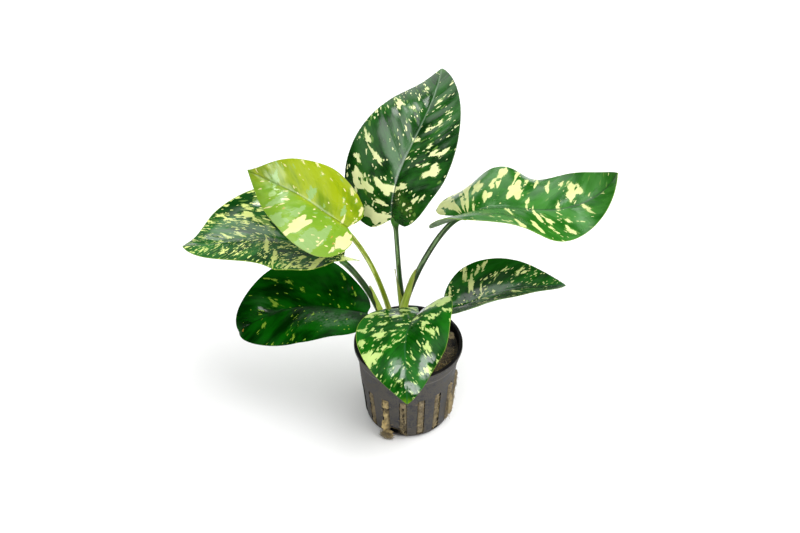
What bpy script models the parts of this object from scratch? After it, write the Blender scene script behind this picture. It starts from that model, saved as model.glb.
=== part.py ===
"""A variegated anubias growing in a slotted net pot, in metres with +Z up.

The origin is the middle of the pot's flat underside. X runs to the right and Y runs away
from someone who looks at the plant's front, where one leaf hangs over the rim.
"""
import math
import random
from dataclasses import dataclass

import bmesh
import bpy
import numpy as np
from mathutils import Matrix, Vector

MM = 0.001
GAP = 0.3 * MM
MERGE = 0.01 * MM
PLANT_NAME = "variegated_anubias"

# Pot
POT_HEIGHT = 48.0 * MM
RIM_RADIUS = 27.5 * MM
LIP_HEIGHT = 2.2 * MM
LIP_WIDTH = 1.8 * MM
LIP_ROUND = 0.4 * MM
LIP_TAPER = 0.5 * MM
COLLAR_TOP_RADIUS = 26.7 * MM
COLLAR_FOOT_RADIUS = 26.2 * MM
COLLAR_FOOT_Z = 41.4 * MM
STEP_HEIGHT = 0.9 * MM
WALL_TOP_RADIUS = 25.5 * MM
WALL_FOOT_RADIUS = 22.1 * MM
WALL_FOOT_Z = 4.0 * MM
FOOT_ROUND_INSET = 0.9 * MM
FOOT_ROUND_Z = 1.3 * MM
BASE_RADIUS = 19.6 * MM
WALL = 1.2 * MM
POT_STEPS = 40
SLOT_COUNT = 16
SLOT_WIDTH = 3.8 * MM
SLOT_FOOT_Z = 2.2 * MM
SLOT_TOP_Z = 28.0 * MM
FIRST_SLOT_DEG = -6.5
BASE_SLOT_COUNT = 8
BASE_SLOT_WIDTH = 3.0 * MM
BASE_SLOT_REACH = (7.0 * MM, 15.0 * MM)
BREAK_Z = (3.2 * MM, 7.2 * MM)
BREAK_WIDTH = 7.0 * MM
CUTTER_RADIUS = 24.0 * MM
CUTTER_DEPTH = 14.0 * MM

# Rock wool
WOOL_TOP_Z = 44.6 * MM
WOOL_DOME = 0.8 * MM
WOOL_CLEARANCE = 0.4 * MM
RIB_WIDTH = 3.0 * MM
RIB_ROOT_RADIUS = 15.0 * MM
RIB_END_GAP = 0.5 * MM
RIB_BULGE = (-0.5 * MM, 0.5 * MM)
BULGING_SLOTS = (4, 15)
SIDE_BULGE = 1.3 * MM
TUFT_ANGLE_DEG = -29.0
TUFT_RADII = (4.0 * MM, 2.6 * MM, 2.2 * MM)
TUFT_CENTRE = (24.0 * MM, 2.8 * MM)
TUFT_KNOBS = 0.08
TUFT_DETAIL = (12, 7)

# Rhizome
RHIZOME_CENTRE = (-3.5 * MM, 10.5 * MM, 42.5 * MM)
RHIZOME_RADII = (13.0 * MM, 10.0 * MM, 6.5 * MM)
RHIZOME_KNOBS = 0.06
RHIZOME_DETAIL = (18, 11)

# Leaves and stalks
BLADE_THICKNESS = 1.0 * MM
BLADE_ROWS = 16
BLADE_COLUMNS = 8
MIDRIB_STEPS = 48
LOBE_START = 0.012
LOBE_REACH = 0.25
VEIN_START_POWER = 1.7
VEIN_SWEEP_POWER = 1.5
STALK_POINTS = 12
STALK_BEVEL = 2
FOOT_FADE = 0.22
KNEE_PLACE = 0.97
KNEE_SPREAD = 0.05
SHEATH_THICKNESS = 0.5 * MM
SHEATH_CLEARANCE = 0.35 * MM
SHEATH_FOOT = 0.01
SHEATH_WRAP_DEG = 125.0
SHEATH_TAPER = 0.6
SHEATH_ROWS = 6
SHEATH_COLUMNS = 5

COLOURS = {
    "pot": ((0.085, 0.085, 0.095), 0.42),
    "rock_wool": ((0.20, 0.15, 0.075), 0.95),
    "rhizome": ((0.07, 0.12, 0.03), 0.55),
    "leaf": ((0.02, 0.11, 0.015), 0.28),
    "young_leaf": ((0.25, 0.38, 0.03), 0.30),
    "dark_leaf": ((0.008, 0.05, 0.008), 0.24),
    "stalk": ((0.05, 0.14, 0.03), 0.35),
    "young_stalk": ((0.20, 0.36, 0.04), 0.35),
    "sheath": ((0.22, 0.38, 0.05), 0.40),
}


@dataclass
class Leaf:
    """One blade. Lengths in mm, angles in degrees; four values run from base to tip."""
    name: str
    base: tuple
    length: float
    width_left: float
    width_right: float
    heading: tuple
    pitch: tuple
    roll: tuple
    fold_left: tuple
    fold_right: tuple
    curl_left: float
    curl_right: float
    base_power: float
    tip_power: float
    lobe_left: float
    lobe_right: float
    wave_left: tuple = (0.0, 0.0, 0.0)
    wave_right: tuple = (0.0, 0.0, 0.0)
    material: str = "leaf"


@dataclass
class Stalk:
    """One leaf stalk: a cubic curve through four handles, in mm, and its radii in mm."""
    name: str
    handles: tuple
    foot_radius: float
    middle_radius: float
    knee_radius: float
    material: str = "stalk"


@dataclass
class Sheath:
    """A sheath round a stalk's foot: how far up it reaches and which way it opens."""
    name: str
    stalk: str
    reach: float
    facing: tuple


TOP_LEAF = Leaf(
    "leaf_top", base=(-8, 24.5, 107), length=85.5, width_left=30, width_right=26.5,
    heading=(89, 59, 65, 83), pitch=(60, 42, 26, 12), roll=(-28, 0, 1, -16),
    fold_left=(5, 15, 14, -7), fold_right=(27, 14, 13, 6), curl_left=-26, curl_right=-7,
    base_power=0.37, tip_power=0.83, lobe_left=0.07, lobe_right=0.04)
YOUNG_LEAF = Leaf(
    "leaf_young", base=(-29.5, 12.5, 111.5), length=56, width_left=27, width_right=26,
    heading=(165, 163, 163, 163), pitch=(28, 32, 19, 22), roll=(-8, -14, -27, -71),
    fold_left=(25, 26, 16, -6), fold_right=(10, 15, 14, 28), curl_left=-44, curl_right=-38,
    base_power=0.38, tip_power=0.95, lobe_left=0.10, lobe_right=0.09, material="young_leaf")
LEFT_LEAF = Leaf(
    "leaf_left", base=(-32, 16.5, 89.5), length=82.5, width_left=30, width_right=32.5,
    heading=(164, 175, 207, 187), pitch=(6, 14, 9, 7), roll=(12, 4, 11, 12),
    fold_left=(35, 16, 9, -8), fold_right=(27, 15, 2, -17), curl_left=-24, curl_right=26,
    base_power=0.46, tip_power=0.74, lobe_left=0.13, lobe_right=0.0,
    wave_left=(-3.2, 1.74, 0.20), wave_right=(-0.7, 2.2, -0.2))
DARK_LEAF = Leaf(
    "leaf_dark", base=(-21, 7.5, 60), length=70.5, width_left=24.5, width_right=24,
    heading=(162, 171, 192, 171), pitch=(-4, -1, -16, -49), roll=(0, -3, -21, -24),
    fold_left=(5, 9, 13, 14), fold_right=(9, 13, 10, 45), curl_left=-11, curl_right=5,
    base_power=0.55, tip_power=0.66, lobe_left=0.11, lobe_right=0.02,
    wave_left=(1.1, 2.2, -0.05), wave_right=(-6.6, 0.94, 0.37), material="dark_leaf")
FRONT_LEAF = Leaf(
    "leaf_front", base=(5.5, -1, 68), length=60, width_left=22.5, width_right=27,
    heading=(-112, -102, -87, -85), pitch=(25, 5, -37, -75), roll=(25, 19, 4, 14),
    fold_left=(29, 20, -2, 0), fold_right=(10, 5, -4, -12), curl_left=-33, curl_right=4,
    base_power=0.52, tip_power=0.89, lobe_left=0.18, lobe_right=0.21)
LOW_LEAF = Leaf(
    "leaf_lower_right", base=(19.5, 8, 62), length=63.5, width_left=23.5, width_right=21.5,
    heading=(11, 24, 9, 10), pitch=(5, 8, -2, -5), roll=(-12, -16, -14, -13),
    fold_left=(16, 8, 17, 11), fold_right=(15, 11, 12, 9), curl_left=20, curl_right=18,
    base_power=0.51, tip_power=0.85, lobe_left=0.02, lobe_right=0.08,
    wave_left=(-1.4, 1.5, 0.17), wave_right=(1.6, 1.5, -0.05))
HIGH_LEAF = Leaf(
    "leaf_upper_right", base=(26, 24, 109), length=85.5, width_left=31.5, width_right=23.5,
    heading=(-4, 0, 13, 10), pitch=(35, -6, 10, 73), roll=(5, 5, 9, 2),
    fold_left=(17, 12, 20, 24), fold_right=(50, 20, -5, 4), curl_left=-47, curl_right=-7,
    base_power=0.38, tip_power=0.76, lobe_left=0.18, lobe_right=0.18,
    wave_left=(5.9, 1.62, -0.18), wave_right=(-2.4, 1.93, 0.08))
LEAVES = (TOP_LEAF, YOUNG_LEAF, LEFT_LEAF, DARK_LEAF, FRONT_LEAF, LOW_LEAF, HIGH_LEAF)

STALKS = (
    Stalk("stalk_top", foot_radius=1.7, middle_radius=1.2, knee_radius=2.0,
          handles=((-1, 16.5, 46.5), (-5.1, 19.5, 72.3), (-5.2, 19.5, 88.2), (-6.7, 27.2, 107))),
    Stalk("stalk_young", foot_radius=1.6, middle_radius=1.2, knee_radius=1.2,
          handles=((-7.5, 14, 46.5), (-12.9, 13, 73.4), (-19.4, 11.7, 96.4), (-31.6, 13.4, 110.5)),
          material="young_stalk"),
    Stalk("stalk_left", foot_radius=1.8, middle_radius=1.5, knee_radius=1.5,
          handles=((-12.5, 11, 46.5), (-13.4, 11.6, 63), (-28.3, 16.2, 84.2), (-33.8, 16.5, 87.4))),
    Stalk("stalk_dark", foot_radius=1.6, middle_radius=1.4, knee_radius=1.4,
          handles=((-10.5, 6.5, 46.5), (-14.4, 7, 51.8), (-17.6, 6.8, 56.1), (-22.3, 7.9, 57.6))),
    Stalk("stalk_front", foot_radius=1.6, middle_radius=1.3, knee_radius=1.4,
          handles=((-1, 5.5, 46.5), (1.2, 2.6, 55.5), (6, 1.6, 61.9), (5.5, -3.4, 66.8))),
    Stalk("stalk_lower_right", foot_radius=1.6, middle_radius=1.3, knee_radius=1.4,
          handles=((3.5, 9.5, 46.5), (9.4, 9, 53.2), (14.5, 7.3, 57.6), (21.2, 7.9, 60))),
    Stalk("stalk_upper_right", foot_radius=1.8, middle_radius=1.4, knee_radius=1.5,
          handles=((-3.5, 11, 46.5), (-3.6, 13.5, 71.8), (20.7, 34.6, 106.5), (28.5, 24, 108.1))),
)

SHEATHS = (
    Sheath("sheath_top", "stalk_top", reach=0.50, facing=(-1.0, -0.2, 0.0)),
    Sheath("sheath_left", "stalk_left", reach=0.50, facing=(1.0, -0.1, 0.3)),
    Sheath("sheath_upper_right", "stalk_upper_right", reach=0.40, facing=(-0.8, -0.6, 0.0)),
)


def clear_scene():
    """Remove whatever the file opened with."""
    for old in list(bpy.data.objects):
        bpy.data.objects.remove(old, do_unlink=True)


def make_collection(name):
    """Add a collection to the scene and return it."""
    collection = bpy.data.collections.new(name)
    bpy.context.scene.collection.children.link(collection)
    return collection


def make_material(name):
    """A Principled material from the colour table."""
    colour, roughness = COLOURS[name]
    material = bpy.data.materials.new(name)
    material.use_nodes = True
    shader = material.node_tree.nodes["Principled BSDF"]
    shader.inputs["Base Color"].default_value = (*colour, 1.0)
    shader.inputs["Roughness"].default_value = roughness
    shader.inputs["Metallic"].default_value = 0.0
    return material


def add_object(name, mesh, material, collection):
    """Link a mesh as a named, smooth-shaded object."""
    obj = bpy.data.objects.new(name, mesh)
    collection.objects.link(obj)
    if material:
        mesh.materials.append(material)
    mesh.shade_smooth()
    return obj


def mark_cutter(obj):
    """Keep a helper out of renders and show it as wire."""
    obj.hide_render = True
    obj.display_type = "WIRE"


def polar(radius, degrees, z):
    """A point at an angle from the front, turning towards the right."""
    angle = math.radians(degrees)
    return Vector((radius * math.sin(angle), -radius * math.cos(angle), z))


def slot_angles():
    """The middle angle of each slot in the wall."""
    return [FIRST_SLOT_DEG + index * 360.0 / SLOT_COUNT for index in range(SLOT_COUNT)]


def pot_profile():
    """The pot's closed section, down the outside and back up the inside, as (radius, z)."""
    lip_foot = POT_HEIGHT - LIP_HEIGHT
    outer = [
        (RIM_RADIUS - LIP_ROUND, POT_HEIGHT),
        (RIM_RADIUS, POT_HEIGHT - LIP_ROUND),
        (RIM_RADIUS, lip_foot),
        (COLLAR_TOP_RADIUS, lip_foot - LIP_TAPER),
        (COLLAR_FOOT_RADIUS, COLLAR_FOOT_Z),
        (WALL_TOP_RADIUS, COLLAR_FOOT_Z - STEP_HEIGHT),
        (WALL_FOOT_RADIUS, WALL_FOOT_Z),
        (WALL_FOOT_RADIUS - FOOT_ROUND_INSET, FOOT_ROUND_Z),
        (BASE_RADIUS, 0.0),
        (0.0, 0.0),
    ]
    inner = [
        (0.0, WALL),
        (BASE_RADIUS - WALL, WALL),
        (WALL_FOOT_RADIUS - WALL, WALL_FOOT_Z),
        (WALL_TOP_RADIUS - WALL, COLLAR_FOOT_Z - STEP_HEIGHT),
        (COLLAR_FOOT_RADIUS - WALL, COLLAR_FOOT_Z),
        (RIM_RADIUS - LIP_WIDTH, lip_foot),
        (RIM_RADIUS - LIP_WIDTH, POT_HEIGHT),
    ]
    return outer + inner


def wall_radius(z):
    """The outer wall's radius at a height below the collar."""
    share = (z - WALL_FOOT_Z) / (COLLAR_FOOT_Z - STEP_HEIGHT - WALL_FOOT_Z)
    return WALL_FOOT_RADIUS + share * (WALL_TOP_RADIUS - WALL_FOOT_RADIUS)


def turned(name, profile, closed, material, collection):
    """Turn an outline of (radius, z) points round the Z axis."""
    mesh = bpy.data.meshes.new(name)
    points = [(radius, 0.0, z) for radius, z in profile]
    edges = [(index, index + 1) for index in range(len(points) - 1)]
    if closed:
        edges.append((len(points) - 1, 0))
    mesh.from_pydata(points, edges, [])
    obj = add_object(name, mesh, material, collection)
    screw = obj.modifiers.new("turn", "SCREW")
    screw.angle = 2 * math.pi
    screw.steps = POT_STEPS
    screw.render_steps = POT_STEPS
    screw.use_merge_vertices = True
    screw.merge_threshold = MERGE
    screw.use_smooth_shade = True
    return obj


def cutter_box(name, size, matrix, collection):
    """A box of a given size, placed by a matrix, that cuts or joins other pieces."""
    mesh = bpy.data.meshes.new(name)
    shape = bmesh.new()
    bmesh.ops.create_cube(shape, size=1.0)
    bmesh.ops.scale(shape, vec=size, verts=shape.verts)
    shape.to_mesh(mesh)
    shape.free()
    obj = bpy.data.objects.new(name, mesh)
    collection.objects.link(obj)
    obj.matrix_world = matrix
    mark_cutter(obj)


def ellipsoid(name, centre, radii, knobs, grow, material, collection, detail):
    """A sphere stretched to an ellipsoid, with shallow rings and knobs on it. Its faces are
    split the same way at every size, so that a grown copy clears it all over."""
    mesh = bpy.data.meshes.new(name)
    shape = bmesh.new()
    bmesh.ops.create_uvsphere(shape, u_segments=detail[0], v_segments=detail[1], radius=1.0)
    for vertex in shape.verts:
        x, y, z = vertex.co
        rings = math.sin(9.0 * x + 2.0) * math.cos(5.0 * y) + math.sin(7.0 * z + 4.0 * y)
        swell = 1.0 + knobs * rings
        vertex.co = Vector((x * (radii[0] * swell + grow), y * (radii[1] * swell + grow),
                            z * (radii[2] * swell + grow)))
        vertex.co += Vector(centre)
    bmesh.ops.triangulate(shape, faces=shape.faces, quad_method="FIXED")
    shape.to_mesh(mesh)
    shape.free()
    return add_object(name, mesh, material, collection)


def boolean(target, operation, operand):
    """Add an exact boolean with one object or a whole collection."""
    modifier = target.modifiers.new(operation.lower(), "BOOLEAN")
    modifier.operation = operation
    modifier.solver = "EXACT"
    if isinstance(operand, bpy.types.Collection):
        modifier.operand_type = "COLLECTION"
        modifier.collection = operand
    else:
        modifier.object = operand
    return modifier


def turned_place(radius, degrees, z):
    """A matrix that stands at an angle from the front and faces outwards."""
    turn = Matrix.Rotation(math.radians(degrees), 4, "Z")
    return Matrix.Translation(polar(radius, degrees, z)) @ turn


def slot_cutters(prefix, width, shrink, cutters):
    """One upright box through the wall for each slot."""
    size = (width, CUTTER_DEPTH, SLOT_TOP_Z - SLOT_FOOT_Z - 2 * shrink)
    middle = (SLOT_TOP_Z + SLOT_FOOT_Z) / 2
    for index, angle in enumerate(slot_angles()):
        cutter_box(f"{prefix}_{index}", size, turned_place(CUTTER_RADIUS, angle, middle), cutters)


def break_cutter(cutters):
    """The broken gap low in the wall between two of the front slots."""
    angle = FIRST_SLOT_DEG - 180.0 / SLOT_COUNT
    size = (BREAK_WIDTH, CUTTER_DEPTH / 2, BREAK_Z[1] - BREAK_Z[0])
    cutter_box("broken_gap", size, turned_place(WALL_FOOT_RADIUS, angle, sum(BREAK_Z) / 2), cutters)


def drain_cutters(cutters):
    """The ring of drain slots through the base."""
    inner, outer = BASE_SLOT_REACH
    size = (BASE_SLOT_WIDTH, outer - inner, 3 * WALL)
    for index in range(BASE_SLOT_COUNT):
        angle = index * 360.0 / BASE_SLOT_COUNT
        cutter_box(f"drain_{index}", size, turned_place((inner + outer) / 2, angle, 0.0), cutters)


def make_pot(parts, material):
    """The turned pot with its wall slots, its drain slots and the broken gap."""
    cutters = make_collection("pot_cutters")
    pot = turned("pot", pot_profile(), True, material, parts)
    slot_cutters("slot", SLOT_WIDTH, 0.0, cutters)
    break_cutter(cutters)
    drain_cutters(cutters)
    boolean(pot, "DIFFERENCE", cutters)


def wool_profile():
    """The wool's half section inside the pot, from the top of the axis to its foot."""
    clear = WALL + WOOL_CLEARANCE
    foot = WALL + WOOL_CLEARANCE
    edge = COLLAR_TOP_RADIUS - clear
    return [
        (0.0, WOOL_TOP_Z + WOOL_DOME),
        (edge / 2, WOOL_TOP_Z + 0.6 * WOOL_DOME),
        (edge - 3 * MM, WOOL_TOP_Z),
        (edge - 0.9 * MM, WOOL_TOP_Z - 1.2 * MM),
        (COLLAR_FOOT_RADIUS - clear, COLLAR_FOOT_Z + 0.5 * MM),
        (WALL_TOP_RADIUS - clear, COLLAR_FOOT_Z - STEP_HEIGHT - 0.3 * MM),
        (WALL_FOOT_RADIUS - clear, WALL_FOOT_Z + 0.2 * MM),
        (BASE_RADIUS - clear - 0.4 * MM, foot),
        (0.0, foot),
    ]


def wool_rib(name, angle, bulge, collection):
    """Wool that fills one slot, with an outer face along the sloping wall."""
    foot = SLOT_FOOT_Z + RIB_END_GAP
    top = SLOT_TOP_Z - RIB_END_GAP
    mesh = bpy.data.meshes.new(name)
    shape = bmesh.new()
    bmesh.ops.create_cube(shape, size=1.0)
    for vertex in shape.verts:
        z = top if vertex.co.z > 0 else foot
        reach = wall_radius(z) + bulge if vertex.co.y < 0 else RIB_ROOT_RADIUS
        vertex.co = Vector((vertex.co.x * RIB_WIDTH, -reach, z))
    shape.to_mesh(mesh)
    shape.free()
    rib = bpy.data.objects.new(name, mesh)
    collection.objects.link(rib)
    rib.rotation_euler.z = math.radians(angle)
    mark_cutter(rib)
    return rib


def wool_tuft(collection):
    """The loose tuft at the foot of one slot."""
    tuft = ellipsoid("tuft", (0, 0, 0), TUFT_RADII, TUFT_KNOBS, 0.0, None, collection, TUFT_DETAIL)
    tuft.matrix_world = turned_place(TUFT_CENTRE[0], TUFT_ANGLE_DEG, TUFT_CENTRE[1])
    mark_cutter(tuft)
    return tuft


def wall_clearance():
    """The lower wall with its slots, thicker than the real one by the gap all round."""
    cutters = make_collection("narrow_slots")
    grown = turned("grown_wall", grown_profile(), True, None, cutters)
    mark_cutter(grown)
    narrow = make_collection("narrow_slot_cutters")
    slot_cutters("narrow", SLOT_WIDTH - 2 * GAP, GAP, narrow)
    boolean(grown, "DIFFERENCE", narrow)
    return grown


def make_wool(parts, material, rhizome_clearance):
    """The plug of rock wool, with a rib in each slot and a tuft hanging from one."""
    additions = make_collection("wool_additions")
    wool = turned("rock_wool", wool_profile(), False, material, parts)
    chance = random.Random(7)
    for index, angle in enumerate(slot_angles()):
        bulge = chance.uniform(*RIB_BULGE)
        if index in BULGING_SLOTS:
            bulge = SIDE_BULGE
        boolean(wool, "UNION", wool_rib(f"rib_{index}", angle, bulge, additions))
    boolean(wool, "UNION", wool_tuft(additions))
    boolean(wool, "DIFFERENCE", wall_clearance())
    boolean(wool, "DIFFERENCE", rhizome_clearance)


def grown_profile():
    """A section of the lower wall that is thicker than the pot by the gap all round."""
    top = COLLAR_FOOT_Z - STEP_HEIGHT - 2 * MM
    floor_edge = BASE_RADIUS - WALL - 2 * MM
    outside = [
        (wall_radius(top) + GAP, top),
        (WALL_FOOT_RADIUS + GAP, WALL_FOOT_Z),
        (WALL_FOOT_RADIUS - FOOT_ROUND_INSET + GAP, FOOT_ROUND_Z - GAP),
        (BASE_RADIUS + GAP, -GAP),
    ]
    inside = [
        (floor_edge, -GAP),
        (floor_edge, WALL + GAP),
        (BASE_RADIUS - WALL - GAP, WALL + GAP),
        (WALL_FOOT_RADIUS - WALL - GAP, WALL_FOOT_Z),
        (wall_radius(top) - WALL - GAP, top),
    ]
    return outside + inside


def stations(values, along):
    """A smooth curve through values that are evenly spaced from base to tip."""
    values = np.asarray(values, float)
    last = len(values) - 1
    place = np.clip(along, 0.0, 1.0) * last
    left = np.minimum(place.astype(int), last - 1)
    u = place - left
    slope = np.gradient(values)
    return ((1 + 2 * u) * (1 - u) ** 2 * values[left] + u * (1 - u) ** 2 * slope[left]
            + u * u * (3 - 2 * u) * values[left + 1] + u * u * (u - 1) * slope[left + 1])


def midrib(leaf):
    """Positions, directions, sides and normals along the midrib, in mm."""
    along = np.linspace(0.0, 1.0, MIDRIB_STEPS + 1)
    heading = np.radians(stations(leaf.heading, along))
    pitch = np.radians(stations(leaf.pitch, along))
    roll = np.radians(stations(leaf.roll, along))[:, None]
    forward = np.stack([np.cos(pitch) * np.cos(heading), np.cos(pitch) * np.sin(heading),
                        np.sin(pitch)], -1)
    level = np.stack([-np.sin(heading), np.cos(heading), 0 * heading], -1)
    above = np.cross(forward, level)
    side = level * np.cos(roll) + above * np.sin(roll)
    normal = above * np.cos(roll) - level * np.sin(roll)
    steps = (forward[1:] + forward[:-1]) / 2 * leaf.length / MIDRIB_STEPS
    centre = np.vstack([np.zeros(3), np.cumsum(steps, axis=0)]) + np.array(leaf.base, float)
    return along, centre, forward, side, normal


def blend(along, rows, x):
    """Read vectors given along the midrib at the places x."""
    return np.stack([np.interp(x, along, rows[:, axis]) for axis in range(3)], -1)


def blade_outline(leaf, t, v):
    """Where a point lies on the flattened blade: along the midrib and out to the side."""
    out = np.abs(v)
    lobe = np.where(v >= 0, leaf.lobe_left, leaf.lobe_right)
    s = np.clip(LOBE_START + (1 - LOBE_START) * t, 0.0, 1.0 - 1e-9)
    widest = leaf.base_power / (leaf.base_power + leaf.tip_power)
    peak = widest ** leaf.base_power * (1 - widest) ** leaf.tip_power
    width = s ** leaf.base_power * (1 - s) ** leaf.tip_power / peak
    margin = -lobe + (1 + lobe) * s
    start = t ** VEIN_START_POWER
    ahead = np.clip(t / LOBE_REACH, 0.0, 1.0)
    ahead = ahead * ahead * (3 - 2 * ahead)
    sweep = (1 - ahead) * np.sin(np.pi / 2 * out) ** 1.2 + ahead * out ** VEIN_SWEEP_POWER
    return start + (margin - start) * sweep, width * out


def blade_points(leaf, t, v):
    """Points of the curved blade, in mm, for t from base to tip and v across it."""
    along, centre, forward, side, normal = midrib(leaf)
    x, y = blade_outline(leaf, t, v)
    near = np.clip(x, 0.0, 1.0)
    left = v >= 0
    fold = np.where(left, stations(leaf.fold_left, near), stations(leaf.fold_right, near))
    curl = np.where(left, leaf.curl_left, leaf.curl_right)
    angle = np.radians(fold + curl * y / 2)
    width = np.where(left, leaf.width_left, leaf.width_right)
    sideways = np.where(left, 1.0, -1.0) * width * y * np.cos(angle)
    wave = [np.where(left, a, b) for a, b in zip(leaf.wave_left, leaf.wave_right)]
    lift = width * y * np.sin(angle) + wave[0] * y ** 2 * np.sin(2 * np.pi * (wave[1] * x + wave[2]))
    beyond = ((x - near) * leaf.length)[..., None]
    return (blend(along, centre, near) + blend(along, forward, near) * beyond
            + blend(along, side, near) * sideways[..., None]
            + blend(along, normal, near) * lift[..., None])


def make_blade(leaf, parts, material):
    """A blade from a flat grid that is bent to shape and given its thickness."""
    mesh = bpy.data.meshes.new(leaf.name)
    shape = bmesh.new()
    bmesh.ops.create_grid(shape, x_segments=BLADE_ROWS, y_segments=BLADE_COLUMNS, size=0.5)
    flat = np.array([vertex.co for vertex in shape.verts])
    share = flat[:, 0] + 0.5
    t = 0.4 * share + 0.6 * share * share * (3 - 2 * share)
    places = blade_points(leaf, t, 2 * flat[:, 1]) * MM
    for vertex, place in zip(shape.verts, places):
        vertex.co = Vector(place)
    finish_mesh(shape, mesh)
    blade = add_object(leaf.name, mesh, material, parts)
    thicken(blade, BLADE_THICKNESS)


def finish_mesh(shape, mesh):
    """Weld the points that meet and store the shape in its mesh."""
    bmesh.ops.remove_doubles(shape, verts=shape.verts, dist=MERGE)
    shape.to_mesh(mesh)
    shape.free()


def thicken(obj, thickness):
    """Give an open surface its thickness, half to each side."""
    solid = obj.modifiers.new("thickness", "SOLIDIFY")
    solid.thickness = thickness
    solid.offset = 0.0


def cubic(handles, u):
    """A point on a cubic curve through four handles."""
    a, b, c, d = (np.array(handle, float) for handle in handles)
    return (1 - u) ** 3 * a + 3 * u * (1 - u) ** 2 * b + 3 * u * u * (1 - u) * c + u ** 3 * d


def stalk_radius(stalk, u):
    """The stalk's radius in mm: wide at its foot, slim above, thicker at the knee."""
    foot = math.exp(-u / FOOT_FADE)
    knee = math.exp(-((u - KNEE_PLACE) / KNEE_SPREAD) ** 2)
    radius = stalk.middle_radius + (stalk.foot_radius - stalk.middle_radius) * foot
    return radius + (stalk.knee_radius - stalk.middle_radius) * knee


def make_stalk(stalk, parts, material, rhizome_clearance):
    """A tapered tube along the stalk's curve, trimmed where it leaves the rhizome."""
    curve = bpy.data.curves.new(stalk.name, "CURVE")
    curve.dimensions = "3D"
    curve.bevel_depth = MM
    curve.bevel_resolution = STALK_BEVEL
    curve.use_fill_caps = True
    spline = curve.splines.new("POLY")
    spline.points.add(STALK_POINTS - 1)
    for index, point in enumerate(spline.points):
        u = index / (STALK_POINTS - 1)
        point.co = (*(cubic(stalk.handles, u) * MM), 1.0)
        point.radius = stalk_radius(stalk, u)
    guide = bpy.data.objects.new(stalk.name + "_curve", curve)
    parts.objects.link(guide)
    bpy.context.view_layer.update()
    evaluated = guide.evaluated_get(bpy.context.evaluated_depsgraph_get())
    mesh = bpy.data.meshes.new_from_object(evaluated)
    mesh.name = stalk.name
    shape = bmesh.new()
    shape.from_mesh(mesh)
    finish_mesh(shape, mesh)
    mesh.materials.clear()
    obj = add_object(stalk.name, mesh, material, parts)
    bpy.data.objects.remove(guide, do_unlink=True)
    boolean(obj, "DIFFERENCE", rhizome_clearance)


def make_sheath(sheath, stalk, parts, material, rhizome_clearance):
    """A thin pointed channel that wraps the foot of its stalk."""
    mesh = bpy.data.meshes.new(sheath.name)
    shape = bmesh.new()
    bmesh.ops.create_grid(shape, x_segments=SHEATH_ROWS, y_segments=SHEATH_COLUMNS, size=0.5)
    facing = np.array(sheath.facing, float)
    clearance = (SHEATH_CLEARANCE + SHEATH_THICKNESS / 2) / MM
    for vertex in shape.verts:
        share = vertex.co.x + 0.5
        u = SHEATH_FOOT + share * (sheath.reach - SHEATH_FOOT)
        ahead = cubic(stalk.handles, u + SHEATH_FOOT) - cubic(stalk.handles, u - SHEATH_FOOT)
        ahead /= np.linalg.norm(ahead)
        front = facing - ahead * np.dot(facing, ahead)
        front /= np.linalg.norm(front)
        across = np.cross(ahead, front)
        wrap = math.radians(SHEATH_WRAP_DEG) * (1 - share) ** SHEATH_TAPER
        angle = wrap * 2 * vertex.co.y
        radius = stalk_radius(stalk, u) + clearance
        out = front * math.cos(angle) + across * math.sin(angle)
        vertex.co = Vector((cubic(stalk.handles, u) + out * radius) * MM)
    finish_mesh(shape, mesh)
    obj = add_object(sheath.name, mesh, material, parts)
    thicken(obj, SHEATH_THICKNESS)
    boolean(obj, "DIFFERENCE", rhizome_clearance)


def make_rhizome(name, grow, material, collection):
    """The knobbly rhizome that the stalks grow from, or its clearance when it is grown."""
    return ellipsoid(name, RHIZOME_CENTRE, RHIZOME_RADII, RHIZOME_KNOBS, grow, material, collection,
                     RHIZOME_DETAIL)


def build():
    """Model every piece of the potted plant."""
    clear_scene()
    parts = make_collection(PLANT_NAME)
    helpers = make_collection("helpers")
    materials = {name: make_material(name) for name in COLOURS}
    clearance = make_rhizome("rhizome_clearance", GAP, None, helpers)
    mark_cutter(clearance)
    make_pot(parts, materials["pot"])
    make_wool(parts, materials["rock_wool"], clearance)
    make_rhizome("rhizome", 0.0, materials["rhizome"], parts)
    for leaf in LEAVES:
        make_blade(leaf, parts, materials[leaf.material])
    by_name = {stalk.name: stalk for stalk in STALKS}
    for stalk in STALKS:
        make_stalk(stalk, parts, materials[stalk.material], clearance)
    for sheath in SHEATHS:
        make_sheath(sheath, by_name[sheath.stalk], parts, materials["sheath"], clearance)


build()
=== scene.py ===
"""A variegated anubias in its slotted net pot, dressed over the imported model.

Lengths in the tables are in millimetres and angles in degrees. X runs to the right, Y away from
the front and Z up. A blade is a curved sheet over t and v: t goes from its base to its tip and
keeps one value along a side vein, and v goes from -1 at the right margin to 1 at the left one.
"""
import math
import random
from dataclasses import dataclass
from functools import cache

import bmesh
import bpy
import numpy as np
from bpy.props import FloatProperty, FloatVectorProperty, IntProperty, PointerProperty
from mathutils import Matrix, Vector, noise


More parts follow.
